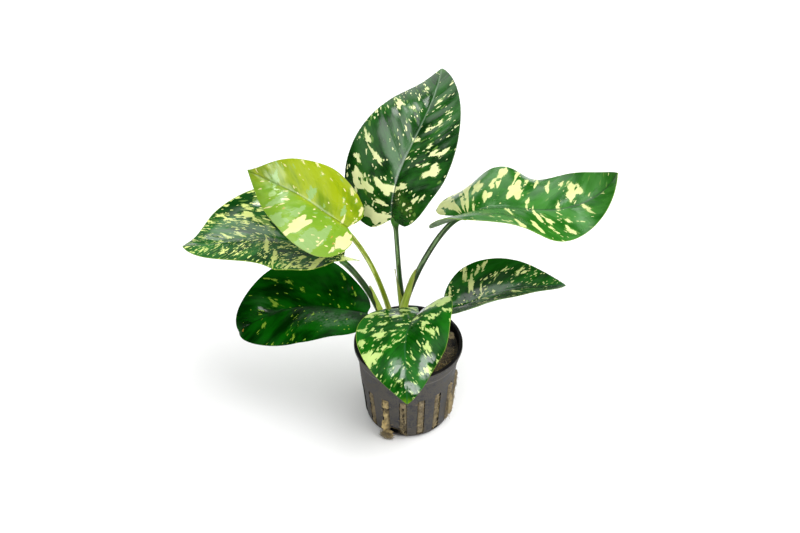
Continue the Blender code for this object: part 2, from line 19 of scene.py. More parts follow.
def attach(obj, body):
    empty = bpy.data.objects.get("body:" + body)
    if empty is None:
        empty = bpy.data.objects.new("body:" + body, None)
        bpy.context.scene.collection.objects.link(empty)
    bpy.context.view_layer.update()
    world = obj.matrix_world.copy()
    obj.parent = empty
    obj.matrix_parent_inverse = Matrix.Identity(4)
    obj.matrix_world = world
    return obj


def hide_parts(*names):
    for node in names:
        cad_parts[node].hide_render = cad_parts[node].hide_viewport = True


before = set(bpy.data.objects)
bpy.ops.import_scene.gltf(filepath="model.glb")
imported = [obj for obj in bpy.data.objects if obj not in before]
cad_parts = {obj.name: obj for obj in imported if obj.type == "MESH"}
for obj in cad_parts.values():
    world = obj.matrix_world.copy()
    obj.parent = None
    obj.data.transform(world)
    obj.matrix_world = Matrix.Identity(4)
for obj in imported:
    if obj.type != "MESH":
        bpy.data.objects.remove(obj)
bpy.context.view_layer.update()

bl_info = {
    "name": "Variegated Anubias",
    "version": (1, 0, 0),
    "blender": (4, 5, 0),
    "location": "3D View > Sidebar > Anubias",
    "description": "Builds a potted variegated anubias over its packed model",
    "category": "Add Mesh",
}

MM = 0.001
STUDIO_SHARE = 0.74
BODY = "root"

# Pot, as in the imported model
RIM_Z = 48.0
RIM_RADIUS = 27.5
LIP_INSIDE = 25.7
COLLAR_TOP = (26.7, 45.3)
COLLAR_FOOT = (26.2, 41.4)
WALL_TOP = (25.5, 40.5)
WALL_FOOT = (22.1, 4.0)
FOOT_ROUND = (21.2, 1.3)
BASE_RADIUS = 19.6
WALL = 1.2
SLOT_COUNT = 16
SLOT_HALF = 1.9
SLOT_Z = (2.2, 28.0)
SLOT_LEAN = 2.2
FIRST_SLOT = -6.5
DRAIN_HALF = 1.5
BREAK_Z = (3.2, 7.2)
BREAK_MIDDLE = -17.75
BREAK_HALF = 9.6
LAND_STEPS = 6
SLOT_STEPS = 5
LIP_ROWS = 2

# Rock wool
WOOL_TOP = 44.6
WOOL_COLUMNS = 512
SLOT_BULGES = (0.1, 0.2, -0.1, 0.6, 0.9, 0.2, -0.2, 0.3, 0.1, -0.3, 0.2, 0.0, -0.3, -1.3, -0.1, 0.4)
# Loose lumps of wool: angle, distance from the axis, height, and half sizes across, out and up
TUFTS = (
    (-27.0, 23.0, 2.9, 2.9, 1.8, 1.6),
    (-31.5, 23.2, 7.5, 1.3, 1.5, 3.0),
    (61.0, 24.3, 15.0, 1.4, 1.2, 7.0),
    (107.0, 22.6, 45.6, 2.3, 1.6, 1.3),
)
TOP_GAP_ANGLE = 98.0
DRY_SLOT_ANGLE = -29.0

# Rhizome
RHIZOME_CENTRE = (-3.5, 10.5, 42.5)
RHIZOME_RADII = (13.0, 10.0, 6.5)
RHIZOME_KNOBS = 0.06

# Leaves and stalks
BLADE_ROWS = 176
BLADE_COLUMNS = 88
MIDRIB_STEPS = 48
LOBE_START = 0.012
LOBE_REACH = 0.25
VEIN_START_POWER = 1.7
VEIN_SWEEP_POWER = 1.5
VEIN_BACK = -0.45
VEIN_LEAN = 0.75
VEIN_CURVE = 0.9
FOOT_FADE = 0.22
KNEE_PLACE = 0.97
KNEE_SPREAD = 0.05
STALK_RINGS = 90
STALK_SIDES = 24
SHEATH_THICKNESS = 0.35
SHEATH_CLEARANCE = 0.4
SHEATH_FOOT = 0.01
SHEATH_WRAP = 125.0
SHEATH_TAPER = 0.6


def tone(red, green, blue, share=1.0):
    """A linear colour from the 0-255 display values that it should show under the studio's
    bright lights, made darker by a share."""
    values = []
    for value in (red, green, blue):
        value /= 255.0
        linear = value / 12.92 if value <= 0.04045 else ((value + 0.055) / 1.055) ** 2.4
        values.append(linear * share * STUDIO_SHARE)
    return tuple(values)


@dataclass
class Leaf:
    """One blade's shape, its marks as (t, v, half length, half width) and its finish."""
    name: str
    base: tuple
    length: float
    width_left: float
    width_right: float
    heading: tuple
    pitch: tuple
    roll: tuple
    fold_left: tuple
    fold_right: tuple
    curl_left: float
    curl_right: float
    base_power: float
    tip_power: float
    lobe_left: float
    lobe_right: float
    wave_left: tuple = (0.0, 0.0, 0.0)
    wave_right: tuple = (0.0, 0.0, 0.0)
    finish: str = "green"
    slot: str = "leaf"
    cream: tuple = ()
    pale: tuple = ()
    scar: tuple = ()
    wet: tuple = ()
    dents: tuple = ()


@dataclass
class Finish:
    """The colours, the markings and the skin of one kind of blade."""
    deep: tuple
    green: tuple
    half: tuple
    cream: tuple
    tip: tuple
    # Colour of the midrib line; the pale grey one is partly painted highlight.
    rib: tuple
    margin: tuple
    flecks: float
    dots: float
    roughness: float
    gloss: float = 0.5
    relief: float = 1.0
    ragged: float = 1.0
    streak: float = 0.4
    flank: tuple = ()


@dataclass
class Stalk:
    """One leaf stalk: four handles of a cubic curve and its radii at foot, middle and knee."""
    name: str
    handles: tuple
    foot_radius: float
    middle_radius: float
    knee_radius: float
    slot: str = "stalk"


@dataclass
class Sheath:
    """A sheath round a stalk's foot: how far up it reaches and which way it opens."""
    name: str
    stalk: str
    reach: float
    facing: tuple


CREAM = tone(232, 240, 158)
HALF = tone(124, 172, 72, 0.8)
# Grey midrib line: partly the midrib's own paler colour, partly painted highlight.
RIB_AND_SHEEN = tone(110, 140, 105)
LIME = tone(158, 192, 66)
FINISHES = {
    "green": Finish(tone(4, 52, 2), tone(24, 96, 8), HALF, tone(246, 252, 184),
                    tone(60, 120, 30), RIB_AND_SHEEN, tone(90, 120, 70), 0.03, 0.03, 0.22, gloss=0.42,
                    ragged=0.75),
    "front": Finish(tone(3, 66, 1), tone(20, 108, 6), HALF, tone(204, 230, 138),
                    tone(130, 180, 20), tone(40, 100, 50), LIME, 0.04, 0.055, 0.30,
                    gloss=0.04, relief=0.3,
                    ragged=0.9, streak=0.35),
    "left": Finish(tone(8, 66, 8), tone(30, 114, 22), HALF, tone(236, 250, 146),
                   tone(60, 110, 30), RIB_AND_SHEEN, LIME, 0.13, 0.09, 0.26, gloss=0.06, relief=0.4,
                   ragged=0.9, streak=0.3),
    "low": Finish(tone(4, 56, 2), tone(18, 98, 6), HALF, CREAM, tone(60, 110, 60),
                  tone(60, 90, 70), tone(120, 150, 70), 0.03, 0.03, 0.26, gloss=0.05,
                  relief=0.4, ragged=0.7, streak=0.3),
    "high": Finish(tone(24, 100, 8), tone(58, 134, 36), HALF, CREAM, tone(60, 120, 40),
                   tone(50, 80, 48), LIME, 0.012, 0.012, 0.26, gloss=0.3, relief=0.6,
                   ragged=0.5, streak=0.2),
    "young": Finish(tone(112, 146, 0), tone(160, 180, 8), tone(150, 188, 104),
                    tone(244, 232, 164), tone(120, 176, 50), tone(90, 124, 8),
                    tone(150, 176, 70), 0.015, 0.012, 0.24, gloss=0.3, relief=0.7,
                    ragged=0.45, streak=0.3, flank=tone(118, 172, 44)),
    "dark": Finish(tone(0, 40, 0), tone(6, 92, 2), tone(60, 120, 20), tone(138, 176, 52),
                   tone(8, 80, 8), tone(5, 50, 5), tone(20, 80, 15), 0.012, 0.015, 0.20,
                   gloss=0.04, relief=0.2, ragged=0.7, streak=0.15),
}

# The values that shape the blades weren't chosen by hand: a separate program fitted them to
# outlines traced by eye on the photo, and its results were rounded. Most cream and pale marks were
# picked by eye on the photo, and a program turned them into places and sizes on the blades.
LEAVES = (
    Leaf("leaf_top", base=(-8, 24.5, 107), length=85.5, width_left=30, width_right=26.5,
         heading=(89, 59, 65, 83), pitch=(60, 42, 26, 12), roll=(-28, 0, 1, -16),
         fold_left=(5, 15, 14, -7), fold_right=(27, 14, 13, 6), curl_left=-26, curl_right=-7,
         base_power=0.37, tip_power=0.83, lobe_left=0.07, lobe_right=0.04,
         cream=((.72, .79, .021, .14), (.76, .41, .011, .09), (.70, -.31, .010, .13),
                (.71, -.55, .015, .06), (.65, -.08, .012, .11), (.60, -.49, .014, .06),
                (.55, -.58, .015, .07), (.53, -.76, .014, .14), (.42, -.69, .040, .15),
                (.49, -.49, .010, .07), (.47, .81, .018, .10), (.45, .52, .014, .17),
                (.36, .81, .016, .08), (.28, .62, .036, .25), (.34, .17, .033, .22),
                (.37, -.13, .022, .16), (.22, .22, .021, .12), (.06, .40, .075, .32),
                (.22, -.59, .030, .08), (.21, -.76, .025, .05), (.14, -.54, .018, .06),
                (.88, .50, .008, .13), (.83, -.37, .008, .12))),
    Leaf("leaf_young", base=(-29.5, 12.5, 111.5), length=56, width_left=27, width_right=26,
         heading=(165, 163, 163, 163), pitch=(28, 32, 19, 22), roll=(-8, -14, -27, -71),
         fold_left=(25, 26, 16, -6), fold_right=(10, 15, 14, 28), curl_left=-44, curl_right=-38,
         base_power=0.38, tip_power=0.95, lobe_left=0.10, lobe_right=0.09,
         finish="young", slot="young_leaf",
         cream=((.49, .72, .048, .30), (.06, .60, .068, .29), (.19, -.92, .025, .21),
                (.52, -.76, .013, .05), (.55, -.97, .008, .08), (.03, -.80, .018, .18),
                (.20, -.08, .020, .11), (.11, -.76, .009, .10), (.28, -.47, .011, .06),
                (.25, .74, .008, .10), (.12, .82, .014, .07), (.00, -.32, .020, .22)),
         pale=((.61, .92, .060, .17), (.31, .79, .085, .42), (.58, .47, .026, .22),
               (.74, .47, .027, .39), (.59, -.21, .028, .18), (.84, -.18, .024, .37),
               (.24, -.25, .035, .11)),
         scar=((.66, .62, .006, .03), (.20, .52, .005, .04), (.14, .66, .006, .03)),
         wet=((.77, .39, .070, .28, .8),)),
    Leaf("leaf_left", base=(-32, 16.5, 89.5), length=82.5, width_left=30, width_right=32.5,
         heading=(164, 175, 207, 187), pitch=(6, 14, 9, 7), roll=(12, 4, 11, 12),
         fold_left=(35, 16, 9, -8), fold_right=(27, 15, 2, -17), curl_left=-24, curl_right=26,
         base_power=0.46, tip_power=0.74, lobe_left=0.13, lobe_right=0.0,
         wave_left=(-3.2, 1.74, 0.20), wave_right=(-0.7, 2.2, -0.2), finish="left",
         cream=((.60, -.77, .010, .08), (.63, -.61, .014, .07), (.67, -.49, .011, .06),
                (.69, -.84, .010, .11), (.75, -.94, .011, .10), (.64, .50, .012, .15),
                (.65, .28, .010, .27), (.57, .71, .019, .25), (.38, .63, .031, .14),
                (.40, .87, .015, .16), (.23, .74, .025, .43), (.07, .88, .012, .60),
                (.75, -.22, .011, .17), (.80, -.27, .010, .20), (.85, .60, .008, .20),
                (.03, .80, .040, .35)),
         pale=((.61, -.27, .014, .26), (.55, -.80, .009, .06)),
         wet=((.58, -.44, .380, .38, 1), (.74, .10, .150, .22, .6))),
    Leaf("leaf_dark", base=(-21, 7.5, 60), length=70.5, width_left=24.5, width_right=24,
         heading=(162, 171, 192, 171), pitch=(-4, -1, -16, -49), roll=(0, -3, -21, -24),
         fold_left=(5, 9, 13, 14), fold_right=(9, 13, 10, 45), curl_left=-11, curl_right=5,
         base_power=0.55, tip_power=0.66, lobe_left=0.11, lobe_right=0.02,
         wave_left=(1.1, 2.2, -0.05), wave_right=(-6.6, 0.94, 0.37),
         finish="dark", slot="dark_leaf",
         cream=((.63, -.61, .010, .06), (.61, -.40, .009, .04), (.77, -.30, .010, .16),
                (.28, -.82, .014, .07), (.22, -.54, .013, .07), (.85, .34, .008, .10),
                (.55, .27, .009, .05), (.64, .84, .012, .08), (.34, .45, .011, .04),
                (.38, .72, .009, .04)),
         wet=((.39, .40, .260, .24, .30), (.45, -.50, .120, .18, .25), (.87, -.24, .045, .24, 1),
              (.93, -.24, .030, .28, .8)),
         scar=((.23, -.62, .004, .07), (.97, .20, .004, .12)),
         dents=((.87, -.24, 3.4, .30), (.93, -.10, 3.0, .25))),
    Leaf("leaf_front", base=(5.5, -1, 68), length=60, width_left=22.5, width_right=27,
         heading=(-112, -102, -87, -85), pitch=(25, 5, -37, -75), roll=(25, 19, 4, 14),
         fold_left=(29, 20, -2, 0), fold_right=(10, 5, -4, -12), curl_left=-33, curl_right=4,
         base_power=0.52, tip_power=0.89, lobe_left=0.18, lobe_right=0.21, finish="front",
         cream=((.69, -.84, .045, .21), (.54, -.55, .031, .12), (.40, -.55, .029, .09),
                (.66, -.45, .014, .13), (.58, -.91, .026, .07), (.45, -.89, .024, .08),
                (.25, -.94, .039, .09), (.21, -.83, .031, .16), (.25, -.37, .038, .13),
                (.07, -.52, .024, .18), (.02, -.56, .010, .35), (.52, -.31, .014, .09),
                (.45, -.21, .014, .08), (.54, .63, .016, .11), (.65, .59, .025, .12),
                (.49, .44, .020, .12), (.42, .56, .034, .13), (.39, .10, .033, .12),
                (.21, .40, .060, .14), (.34, .85, .026, .11), (.87, -.33, .013, .15),
                (.78, .81, .018, .16), (.82, .64, .011, .09), (.19, .74, .075, .26),
                (.08, .90, .050, .25)),
         wet=((.82, -.30, .075, .28, 1), (.76, .76, .085, .28, .9), (.915, .30, .035, .70, 1),
              (.26, -.20, .110, .65, .7), (.12, .10, .080, .50, .6))),
    Leaf("leaf_lower_right", base=(19.5, 8, 62), length=63.5, width_left=23.5,
         width_right=21.5, heading=(11, 24, 9, 10), pitch=(5, 8, -2, -5),
         roll=(-12, -16, -14, -13), fold_left=(16, 8, 17, 11), fold_right=(15, 11, 12, 9),
         curl_left=20, curl_right=18, base_power=0.51, tip_power=0.85, lobe_left=0.02,
         lobe_right=0.08, wave_left=(-1.4, 1.5, 0.17), wave_right=(1.6, 1.5, -0.05),
         finish="low",
         cream=((.41, .55, .025, .24), (.45, .80, .014, .10), (.49, .87, .010, .09),
                (.35, .76, .017, .13), (.33, .95, .013, .23), (.50, .32, .009, .18),
                (.59, .59, .009, .11), (.72, .67, .008, .18), (.57, .44, .009, .06),
                (.59, .03, .008, .11), (.68, -.41, .018, .19), (.10, .69, .025, .16),
                (.64, .75, .008, .05), (.50, -.12, .010, .12)),
         wet=((.42, .06, .360, .28, .9), (.14, .10, .140, .22, .8))),
    Leaf("leaf_upper_right", base=(26, 24, 109), length=85.5, width_left=31.5,
         width_right=23.5, heading=(-4, 0, 13, 10), pitch=(35, -6, 10, 73), roll=(5, 5, 9, 2),
         fold_left=(17, 12, 20, 24), fold_right=(50, 20, -5, 4), curl_left=-47, curl_right=-7,
         base_power=0.38, tip_power=0.76, lobe_left=0.18, lobe_right=0.18,
         wave_left=(5.9, 1.62, -0.18), wave_right=(-2.4, 1.93, 0.08), finish="high",
         cream=((.49, .40, .041, .22), (.79, .45, .036, .26), (.38, .72, .019, .28),
                (.35, .50, .016, .13), (.25, .52, .034, .16), (.33, .25, .031, .10),
                (.57, .11, .009, .15), (.66, .64, .010, .22), (.59, .78, .008, .29),
                (.53, .65, .008, .17), (.73, .71, .012, .08), (.72, .06, .008, .15),
                (.82, -.32, .008, .31), (.72, -.45, .009, .08), (.69, -.75, .011, .17),
                (.60, -.27, .011, .29), (.64, -.44, .014, .10), (.62, -.69, .008, .10),
                (.54, -.72, .016, .19), (.44, -.87, .017, .17), (.46, -.22, .013, .20),
                (.23, .11, .009, .20), (.06, .47, .024, .42), (.13, .35, .016, .30),
                (.17, .58, .026, .50), (.46, .95, .008, .41), (.02, .78, .030, .30),
                (.12, .90, .060, .10))),
)

# The middle and last handles come from the same fitting program, apart from the top stalk's last.
STALKS = (
    Stalk("stalk_top", foot_radius=1.7, middle_radius=1.2, knee_radius=2.4,
          handles=((-1, 16.5, 46.5), (-5.1, 19.5, 72.3), (-5.2, 19.5, 88.2),
                   (-6.7, 25.3, 108.1))),
    Stalk("stalk_young", foot_radius=1.6, middle_radius=1.2, knee_radius=1.2,
          handles=((-7.5, 14, 46.5), (-12.9, 13, 73.4), (-19.4, 11.7, 96.4), (-31.6, 13.4, 110.5)),
          slot="young_stalk"),
    Stalk("stalk_left", foot_radius=1.8, middle_radius=1.5, knee_radius=1.5,
          handles=((-12.5, 11, 46.5), (-13.4, 11.6, 63), (-28.3, 16.2, 84.2), (-33.8, 16.5, 87.4))),
    Stalk("stalk_dark", foot_radius=1.6, middle_radius=1.4, knee_radius=1.4,
          handles=((-10.5, 6.5, 46.5), (-14.4, 7, 51.8), (-17.6, 6.8, 56.1), (-22.3, 7.9, 57.6))),
    Stalk("stalk_front", foot_radius=1.6, middle_radius=1.3, knee_radius=1.4,
          handles=((-1, 5.5, 46.5), (1.2, 2.6, 55.5), (6, 1.6, 61.9), (5.5, -3.4, 66.8))),
    Stalk("stalk_lower_right", foot_radius=1.6, middle_radius=1.3, knee_radius=1.4,
          handles=((3.5, 9.5, 46.5), (9.4, 9, 53.2), (14.5, 7.3, 57.6), (21.2, 7.9, 60))),
    Stalk("stalk_upper_right", foot_radius=1.8, middle_radius=1.4, knee_radius=1.5,
          handles=((-3.5, 11, 46.5), (-3.6, 13.5, 71.8), (20.7, 34.6, 106.5), (28.5, 24, 108.1))),
)

SHEATHS = (
    Sheath("sheath_top", "stalk_top", reach=0.50, facing=(-1.0, -0.2, 0.0)),
    Sheath("sheath_left", "stalk_left", reach=0.50, facing=(1.0, -0.1, 0.3)),
    Sheath("sheath_upper_right", "stalk_upper_right", reach=0.40, facing=(-0.8, -0.6, 0.0)),
)


# Settings that a user would change

def colour_setting(name, default, description):
    """A colour in a settings panel."""
    return FloatVectorProperty(name=name, description=description, default=default, size=3,
                               subtype="COLOR", min=0.0, max=1.0)


class AnubiasPotSettings(bpy.types.PropertyGroup):
    """Sizes and colours of the net pot."""
    plastic: colour_setting("Plastic", tone(58, 59, 65), "Colour of the pot's plastic")
    # The lip colour is painted shade: a near-black copy of the plastic for the lip's top, the inside
    # of the pot and the slots' sides.
    lip: colour_setting("Lip", tone(7, 6, 10), "Colour of the lip and the inside of the pot")
    bevel: FloatProperty(name="Edge round", description="Rounding of the moulded edges",
                         default=0.00014, min=0.0, subtype="DISTANCE", unit="LENGTH")
    roughness: FloatProperty(name="Roughness", description="How dull the plastic is",
                             default=0.48, min=0.0, max=1.0, subtype="FACTOR")


class AnubiasWoolSettings(bpy.types.PropertyGroup):
    """Colours of the rock wool and the number of its loose fibres."""
    light: colour_setting("Light wool", tone(152, 134, 98), "Colour of the dry wool")
    dark: colour_setting("Dark wool", tone(94, 80, 52), "Colour of the damp wool")
    fibres: IntProperty(name="Fibres", description="Number of loose fibres", default=2600,
                        min=0, max=5000)
    fibre_radius: FloatProperty(name="Fibre radius", description="Half a fibre's thickness",
                                default=0.00006, min=0.00001, precision=6,
                                subtype="DISTANCE", unit="LENGTH")


class AnubiasLeafSettings(bpy.types.PropertyGroup):
    """Relief of the blades and the colour of their undersides."""
    vein_pairs: FloatProperty(name="Side veins", description="Main side veins on each side",
                              default=8.0, min=1.0, max=20.0)
    swell: FloatProperty(name="Swell", description="Height of the blade between its side veins",
                         default=0.00030, min=0.0, precision=5,
                         subtype="DISTANCE", unit="LENGTH")
    groove: FloatProperty(name="Midrib groove", description="Depth of the groove on the midrib",
                          default=0.00030, min=0.0, precision=5,
                          subtype="DISTANCE", unit="LENGTH")
    thickness: FloatProperty(name="Thickness", description="Thickness beside the midrib",
                             default=0.00075, min=0.0001, precision=5,
                             subtype="DISTANCE", unit="LENGTH")
    underside: colour_setting("Underside", tone(84, 122, 62), "Colour of the green undersides")
    young_underside: colour_setting("Young underside", tone(186, 198, 96),
                                    "Colour of the young leaf's underside")


class AnubiasStalkSettings(bpy.types.PropertyGroup):
    """Colours of the stalks, the sheaths and the rhizome."""
    green: colour_setting("Stalk", tone(28, 82, 8), "Colour of the green stalks")
    young: colour_setting("Young stalk", tone(150, 175, 20), "Colour of the young leaf's stalk")
    sheath: colour_setting("Sheath", tone(194, 224, 60), "Colour of the sheaths")
    rhizome: colour_setting("Rhizome", tone(78, 92, 34), "Colour of the rhizome")


class AnubiasStudioSettings(bpy.types.PropertyGroup):
    """Floor, lights and camera."""
    floor: colour_setting("Floor", (0.90, 0.90, 0.90), "Colour of the floor")
    ceiling: FloatProperty(name="Ceiling light", description="Power of the large soft light",
                           default=33.0, min=0.0, unit="POWER")
    sheen: FloatProperty(name="Sheen lights", description="Strength of the five softboxes",
                         default=1.0, min=0.0, max=10.0, subtype="FACTOR")
    lens: FloatProperty(name="Lens", description="Focal length of the camera", default=71.3,
                        min=10.0, max=300.0, unit="CAMERA")


# Meshes

def mesh_object(name, points, faces, materials, attributes=None, face_materials=None):
    """An object from points in mm, with its materials and its values at each point."""
    mesh = bpy.data.meshes.new(name)
    mesh.from_pydata((np.asarray(points) * MM).tolist(), [], faces)
    for key, values in (attributes or {}).items():
        values = np.asarray(values, np.float32)
        kind, field = ("FLOAT_VECTOR", "vector") if values.ndim == 2 else ("FLOAT", "value")
        mesh.attributes.new(key, kind, "POINT").data.foreach_set(field, values.ravel())
    if face_materials is not None:
        mesh.polygons.foreach_set("material_index", face_materials)
    for material in materials:
        mesh.materials.append(material)
    obj = bpy.data.objects.new(name, mesh)
    bpy.context.scene.collection.objects.link(obj)
    return obj


def tidy_mesh(obj, merge=0.002, sharp=50.0):
    """Weld points that meet, face every face outwards and smooth all but sharp edges."""
    shape = bmesh.new()
    shape.from_mesh(obj.data)
    bmesh.ops.remove_doubles(shape, verts=shape.verts, dist=merge * MM)
    bmesh.ops.recalc_face_normals(shape, faces=shape.faces)
    shape.to_mesh(obj.data)
    shape.free()
    obj.data.shade_smooth()
    obj.data.set_sharp_from_angle(angle=math.radians(sharp))


def grid_faces(rows, columns, start=0, wrap=False):
    """Quads over a grid of points; wrap joins the last column to the first."""
    faces = []
    for row in range(rows - 1):
        for column in range(columns if wrap else columns - 1):
            after = (column + 1) % columns
            a, b = start + row * columns, start + (row + 1) * columns
            faces.append((a + column, a + after, b + after, b + column))
    return faces


def sheet_mesh(top, under):
    """Points and faces of a closed sheet between two grids, and each face's side: 0 or 1."""
    rows, columns = top.shape[:2]
    count = rows * columns
    points = np.vstack([top.reshape(-1, 3), under.reshape(-1, 3)])
    faces = grid_faces(rows, columns)
    sides = [0] * len(faces)
    below = grid_faces(rows, columns, count)
    faces += [face[::-1] for face in below]
    sides += [1] * len(below)
    loop = list(range(columns))
    loop += [row * columns + columns - 1 for row in range(1, rows)]
    loop += [(rows - 1) * columns + column for column in range(columns - 2, -1, -1)]
    loop += [row * columns for row in range(rows - 2, 0, -1)]
    for a, b in zip(loop, loop[1:] + loop[:1]):
        faces.append((b, a, a + count, b + count))
        sides.append(0)
    return points, faces, sides


def tube_mesh(path, radii, sides):
    """Points and faces of a closed tube along a path, and how far along and round they lie."""
    path = np.asarray(path, float)
    ahead = np.gradient(path, axis=0)
    ahead /= np.linalg.norm(ahead, axis=1)[:, None]
    side = np.cross(ahead[0], (0.0, 1.0, 0.3))
    turn = np.linspace(0, 2 * math.pi, sides, endpoint=False)
    rings = []
    for place, way, radius in zip(path, ahead, radii):
        side = side - way * np.dot(side, way)
        side /= np.linalg.norm(side)
        other = np.cross(way, side)
        rings.append(place + radius * (np.cos(turn)[:, None] * side
                                       + np.sin(turn)[:, None] * other))
    steps = np.linalg.norm(np.diff(path, axis=0), axis=1)
    along = np.repeat(np.concatenate([[0.0], np.cumsum(steps)]), sides)
    faces = grid_faces(len(path), sides, wrap=True)
    faces.append(tuple(range(sides)))
    faces.append(tuple(range(len(path) * sides - 1, (len(path) - 1) * sides - 1, -1)))
    return np.vstack(rings), faces, along, np.tile(turn, len(path))


def keep_piece(obj, slot, *nodes):
    """Let a piece move with the plant and stand for CAD nodes; the slot is not used."""
    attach(obj, BODY)
    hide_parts(*nodes)
    return obj


def lumps(points, size, seed=0.0):
    """Smooth noise from -1 to 1 at points in mm; size is the width of its lumps."""
    points = np.asarray(points, float).reshape(-1, 3) / size + seed
    return np.array([noise.noise(point) for point in points.tolist()])


def smooth(low, high, values):
    """Rise smoothly from 0 at low to 1 at high."""
    x = np.clip((np.asarray(values, float) - low) / (high - low), 0.0, 1.0)
    return x * x * (3 - 2 * x)


# The curved sheets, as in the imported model

def stations(values, along):
    """A smooth curve through values that are evenly spaced from base to tip."""
    values = np.asarray(values, float)
    last = len(values) - 1
    place = np.clip(along, 0.0, 1.0) * last
    left = np.minimum(place.astype(int), last - 1)
    u = place - left
    slope = np.gradient(values)
    return ((1 + 2 * u) * (1 - u) ** 2 * values[left] + u * (1 - u) ** 2 * slope[left]
            + u * u * (3 - 2 * u) * values[left + 1] + u * u * (u - 1) * slope[left + 1])


def midrib(leaf):
    """Positions, directions, sides and normals along the midrib."""
    along = np.linspace(0.0, 1.0, MIDRIB_STEPS + 1)
    heading = np.radians(stations(leaf.heading, along))
    pitch = np.radians(stations(leaf.pitch, along))
    roll = np.radians(stations(leaf.roll, along))[:, None]
    forward = np.stack([np.cos(pitch) * np.cos(heading), np.cos(pitch) * np.sin(heading),
                        np.sin(pitch)], -1)
    level = np.stack([-np.sin(heading), np.cos(heading), 0 * heading], -1)
    above = np.cross(forward, level)
    side = level * np.cos(roll) + above * np.sin(roll)
    normal = above * np.cos(roll) - level * np.sin(roll)
    steps = (forward[1:] + forward[:-1]) / 2 * leaf.length / MIDRIB_STEPS
    centre = np.vstack([np.zeros(3), np.cumsum(steps, axis=0)]) + np.array(leaf.base, float)
    return along, centre, forward, side, normal


def blend(along, rows, x):
    """Read vectors given along the midrib at the places x."""
    return np.stack([np.interp(x, along, rows[:, axis]) for axis in range(3)], -1)


def blade_outline(leaf, t, v):
    """Where a point lies on the flattened blade: along the midrib and out to the side."""
    out = np.abs(v)
    lobe = np.where(v >= 0, leaf.lobe_left, leaf.lobe_right)
    s = np.clip(LOBE_START + (1 - LOBE_START) * t, 0.0, 1.0 - 1e-9)
    widest = leaf.base_power / (leaf.base_power + leaf.tip_power)
    peak = widest ** leaf.base_power * (1 - widest) ** leaf.tip_power
    width = s ** leaf.base_power * (1 - s) ** leaf.tip_power / peak
    margin = -lobe + (1 + lobe) * s
    start = t ** VEIN_START_POWER
    ahead = smooth(0.0, LOBE_REACH, t)
    sweep = (1 - ahead) * np.sin(np.pi / 2 * out) ** 1.2 + ahead * out ** VEIN_SWEEP_POWER
    return start + (margin - start) * sweep, width * out


def blade_points(leaf, t, v):
    """Points of the curved blade for t from base to tip and v across it."""
    along, centre, forward, side, normal = midrib(leaf)
    x, y = blade_outline(leaf, t, v)
    near = np.clip(x, 0.0, 1.0)
    left = v >= 0
    fold = np.where(left, stations(leaf.fold_left, near), stations(leaf.fold_right, near))
    curl = np.where(left, leaf.curl_left, leaf.curl_right)
    angle = np.radians(fold + curl * y / 2)
    width = np.where(left, leaf.width_left, leaf.width_right)
    sideways = np.where(left, 1.0, -1.0) * width * y * np.cos(angle)
    wave = [np.where(left, a, b) for a, b in zip(leaf.wave_left, leaf.wave_right)]
    lift = width * y * np.sin(angle) + wave[0] * y ** 2 * np.sin(2 * np.pi * (wave[1] * x + wave[2]))
    beyond = ((x - near) * leaf.length)[..., None]
    return (blend(along, centre, near) + blend(along, forward, near) * beyond
            + blend(along, side, near) * sideways[..., None]
            + blend(along, normal, near) * lift[..., None])


def vein_start(leaf, x, out):
    """Where the side vein through a point of the flattened blade leaves the midrib.
    Side veins sweep back into the lobes at the base and lean forward towards the tip."""
    low, high = np.full(x.shape, -0.6), np.full(x.shape, 1.2)
    for _ in range(32):
        middle = (low + high) / 2
        lean = VEIN_BACK + (VEIN_LEAN - VEIN_BACK) * smooth(-0.1, 0.42, middle) + 0.35 * middle
        beyond = middle + lean * out + VEIN_CURVE * out ** 2 > x
        high = np.where(beyond, middle, high)
        low = np.where(beyond, low, middle)
    return (low + high) / 2


def cubic(handles, u):
    """Points on a cubic curve through four handles."""
    a, b, c, d = (np.array(handle, float) for handle in handles)
    u = np.asarray(u, float)[..., None]
    return (1 - u) ** 3 * a + 3 * u * (1 - u) ** 2 * b + 3 * u * u * (1 - u) * c + u ** 3 * d


def stalk_radius(stalk, u):
    """The stalk's radius: wide at its foot, slim above, thicker at the knee."""
    foot = np.exp(-u / FOOT_FADE)
    knee = np.exp(-((u - KNEE_PLACE) / KNEE_SPREAD) ** 2)
    radius = stalk.middle_radius + (stalk.foot_radius - stalk.middle_radius) * foot
    return radius + (stalk.knee_radius - stalk.middle_radius) * knee


# Shader nodes

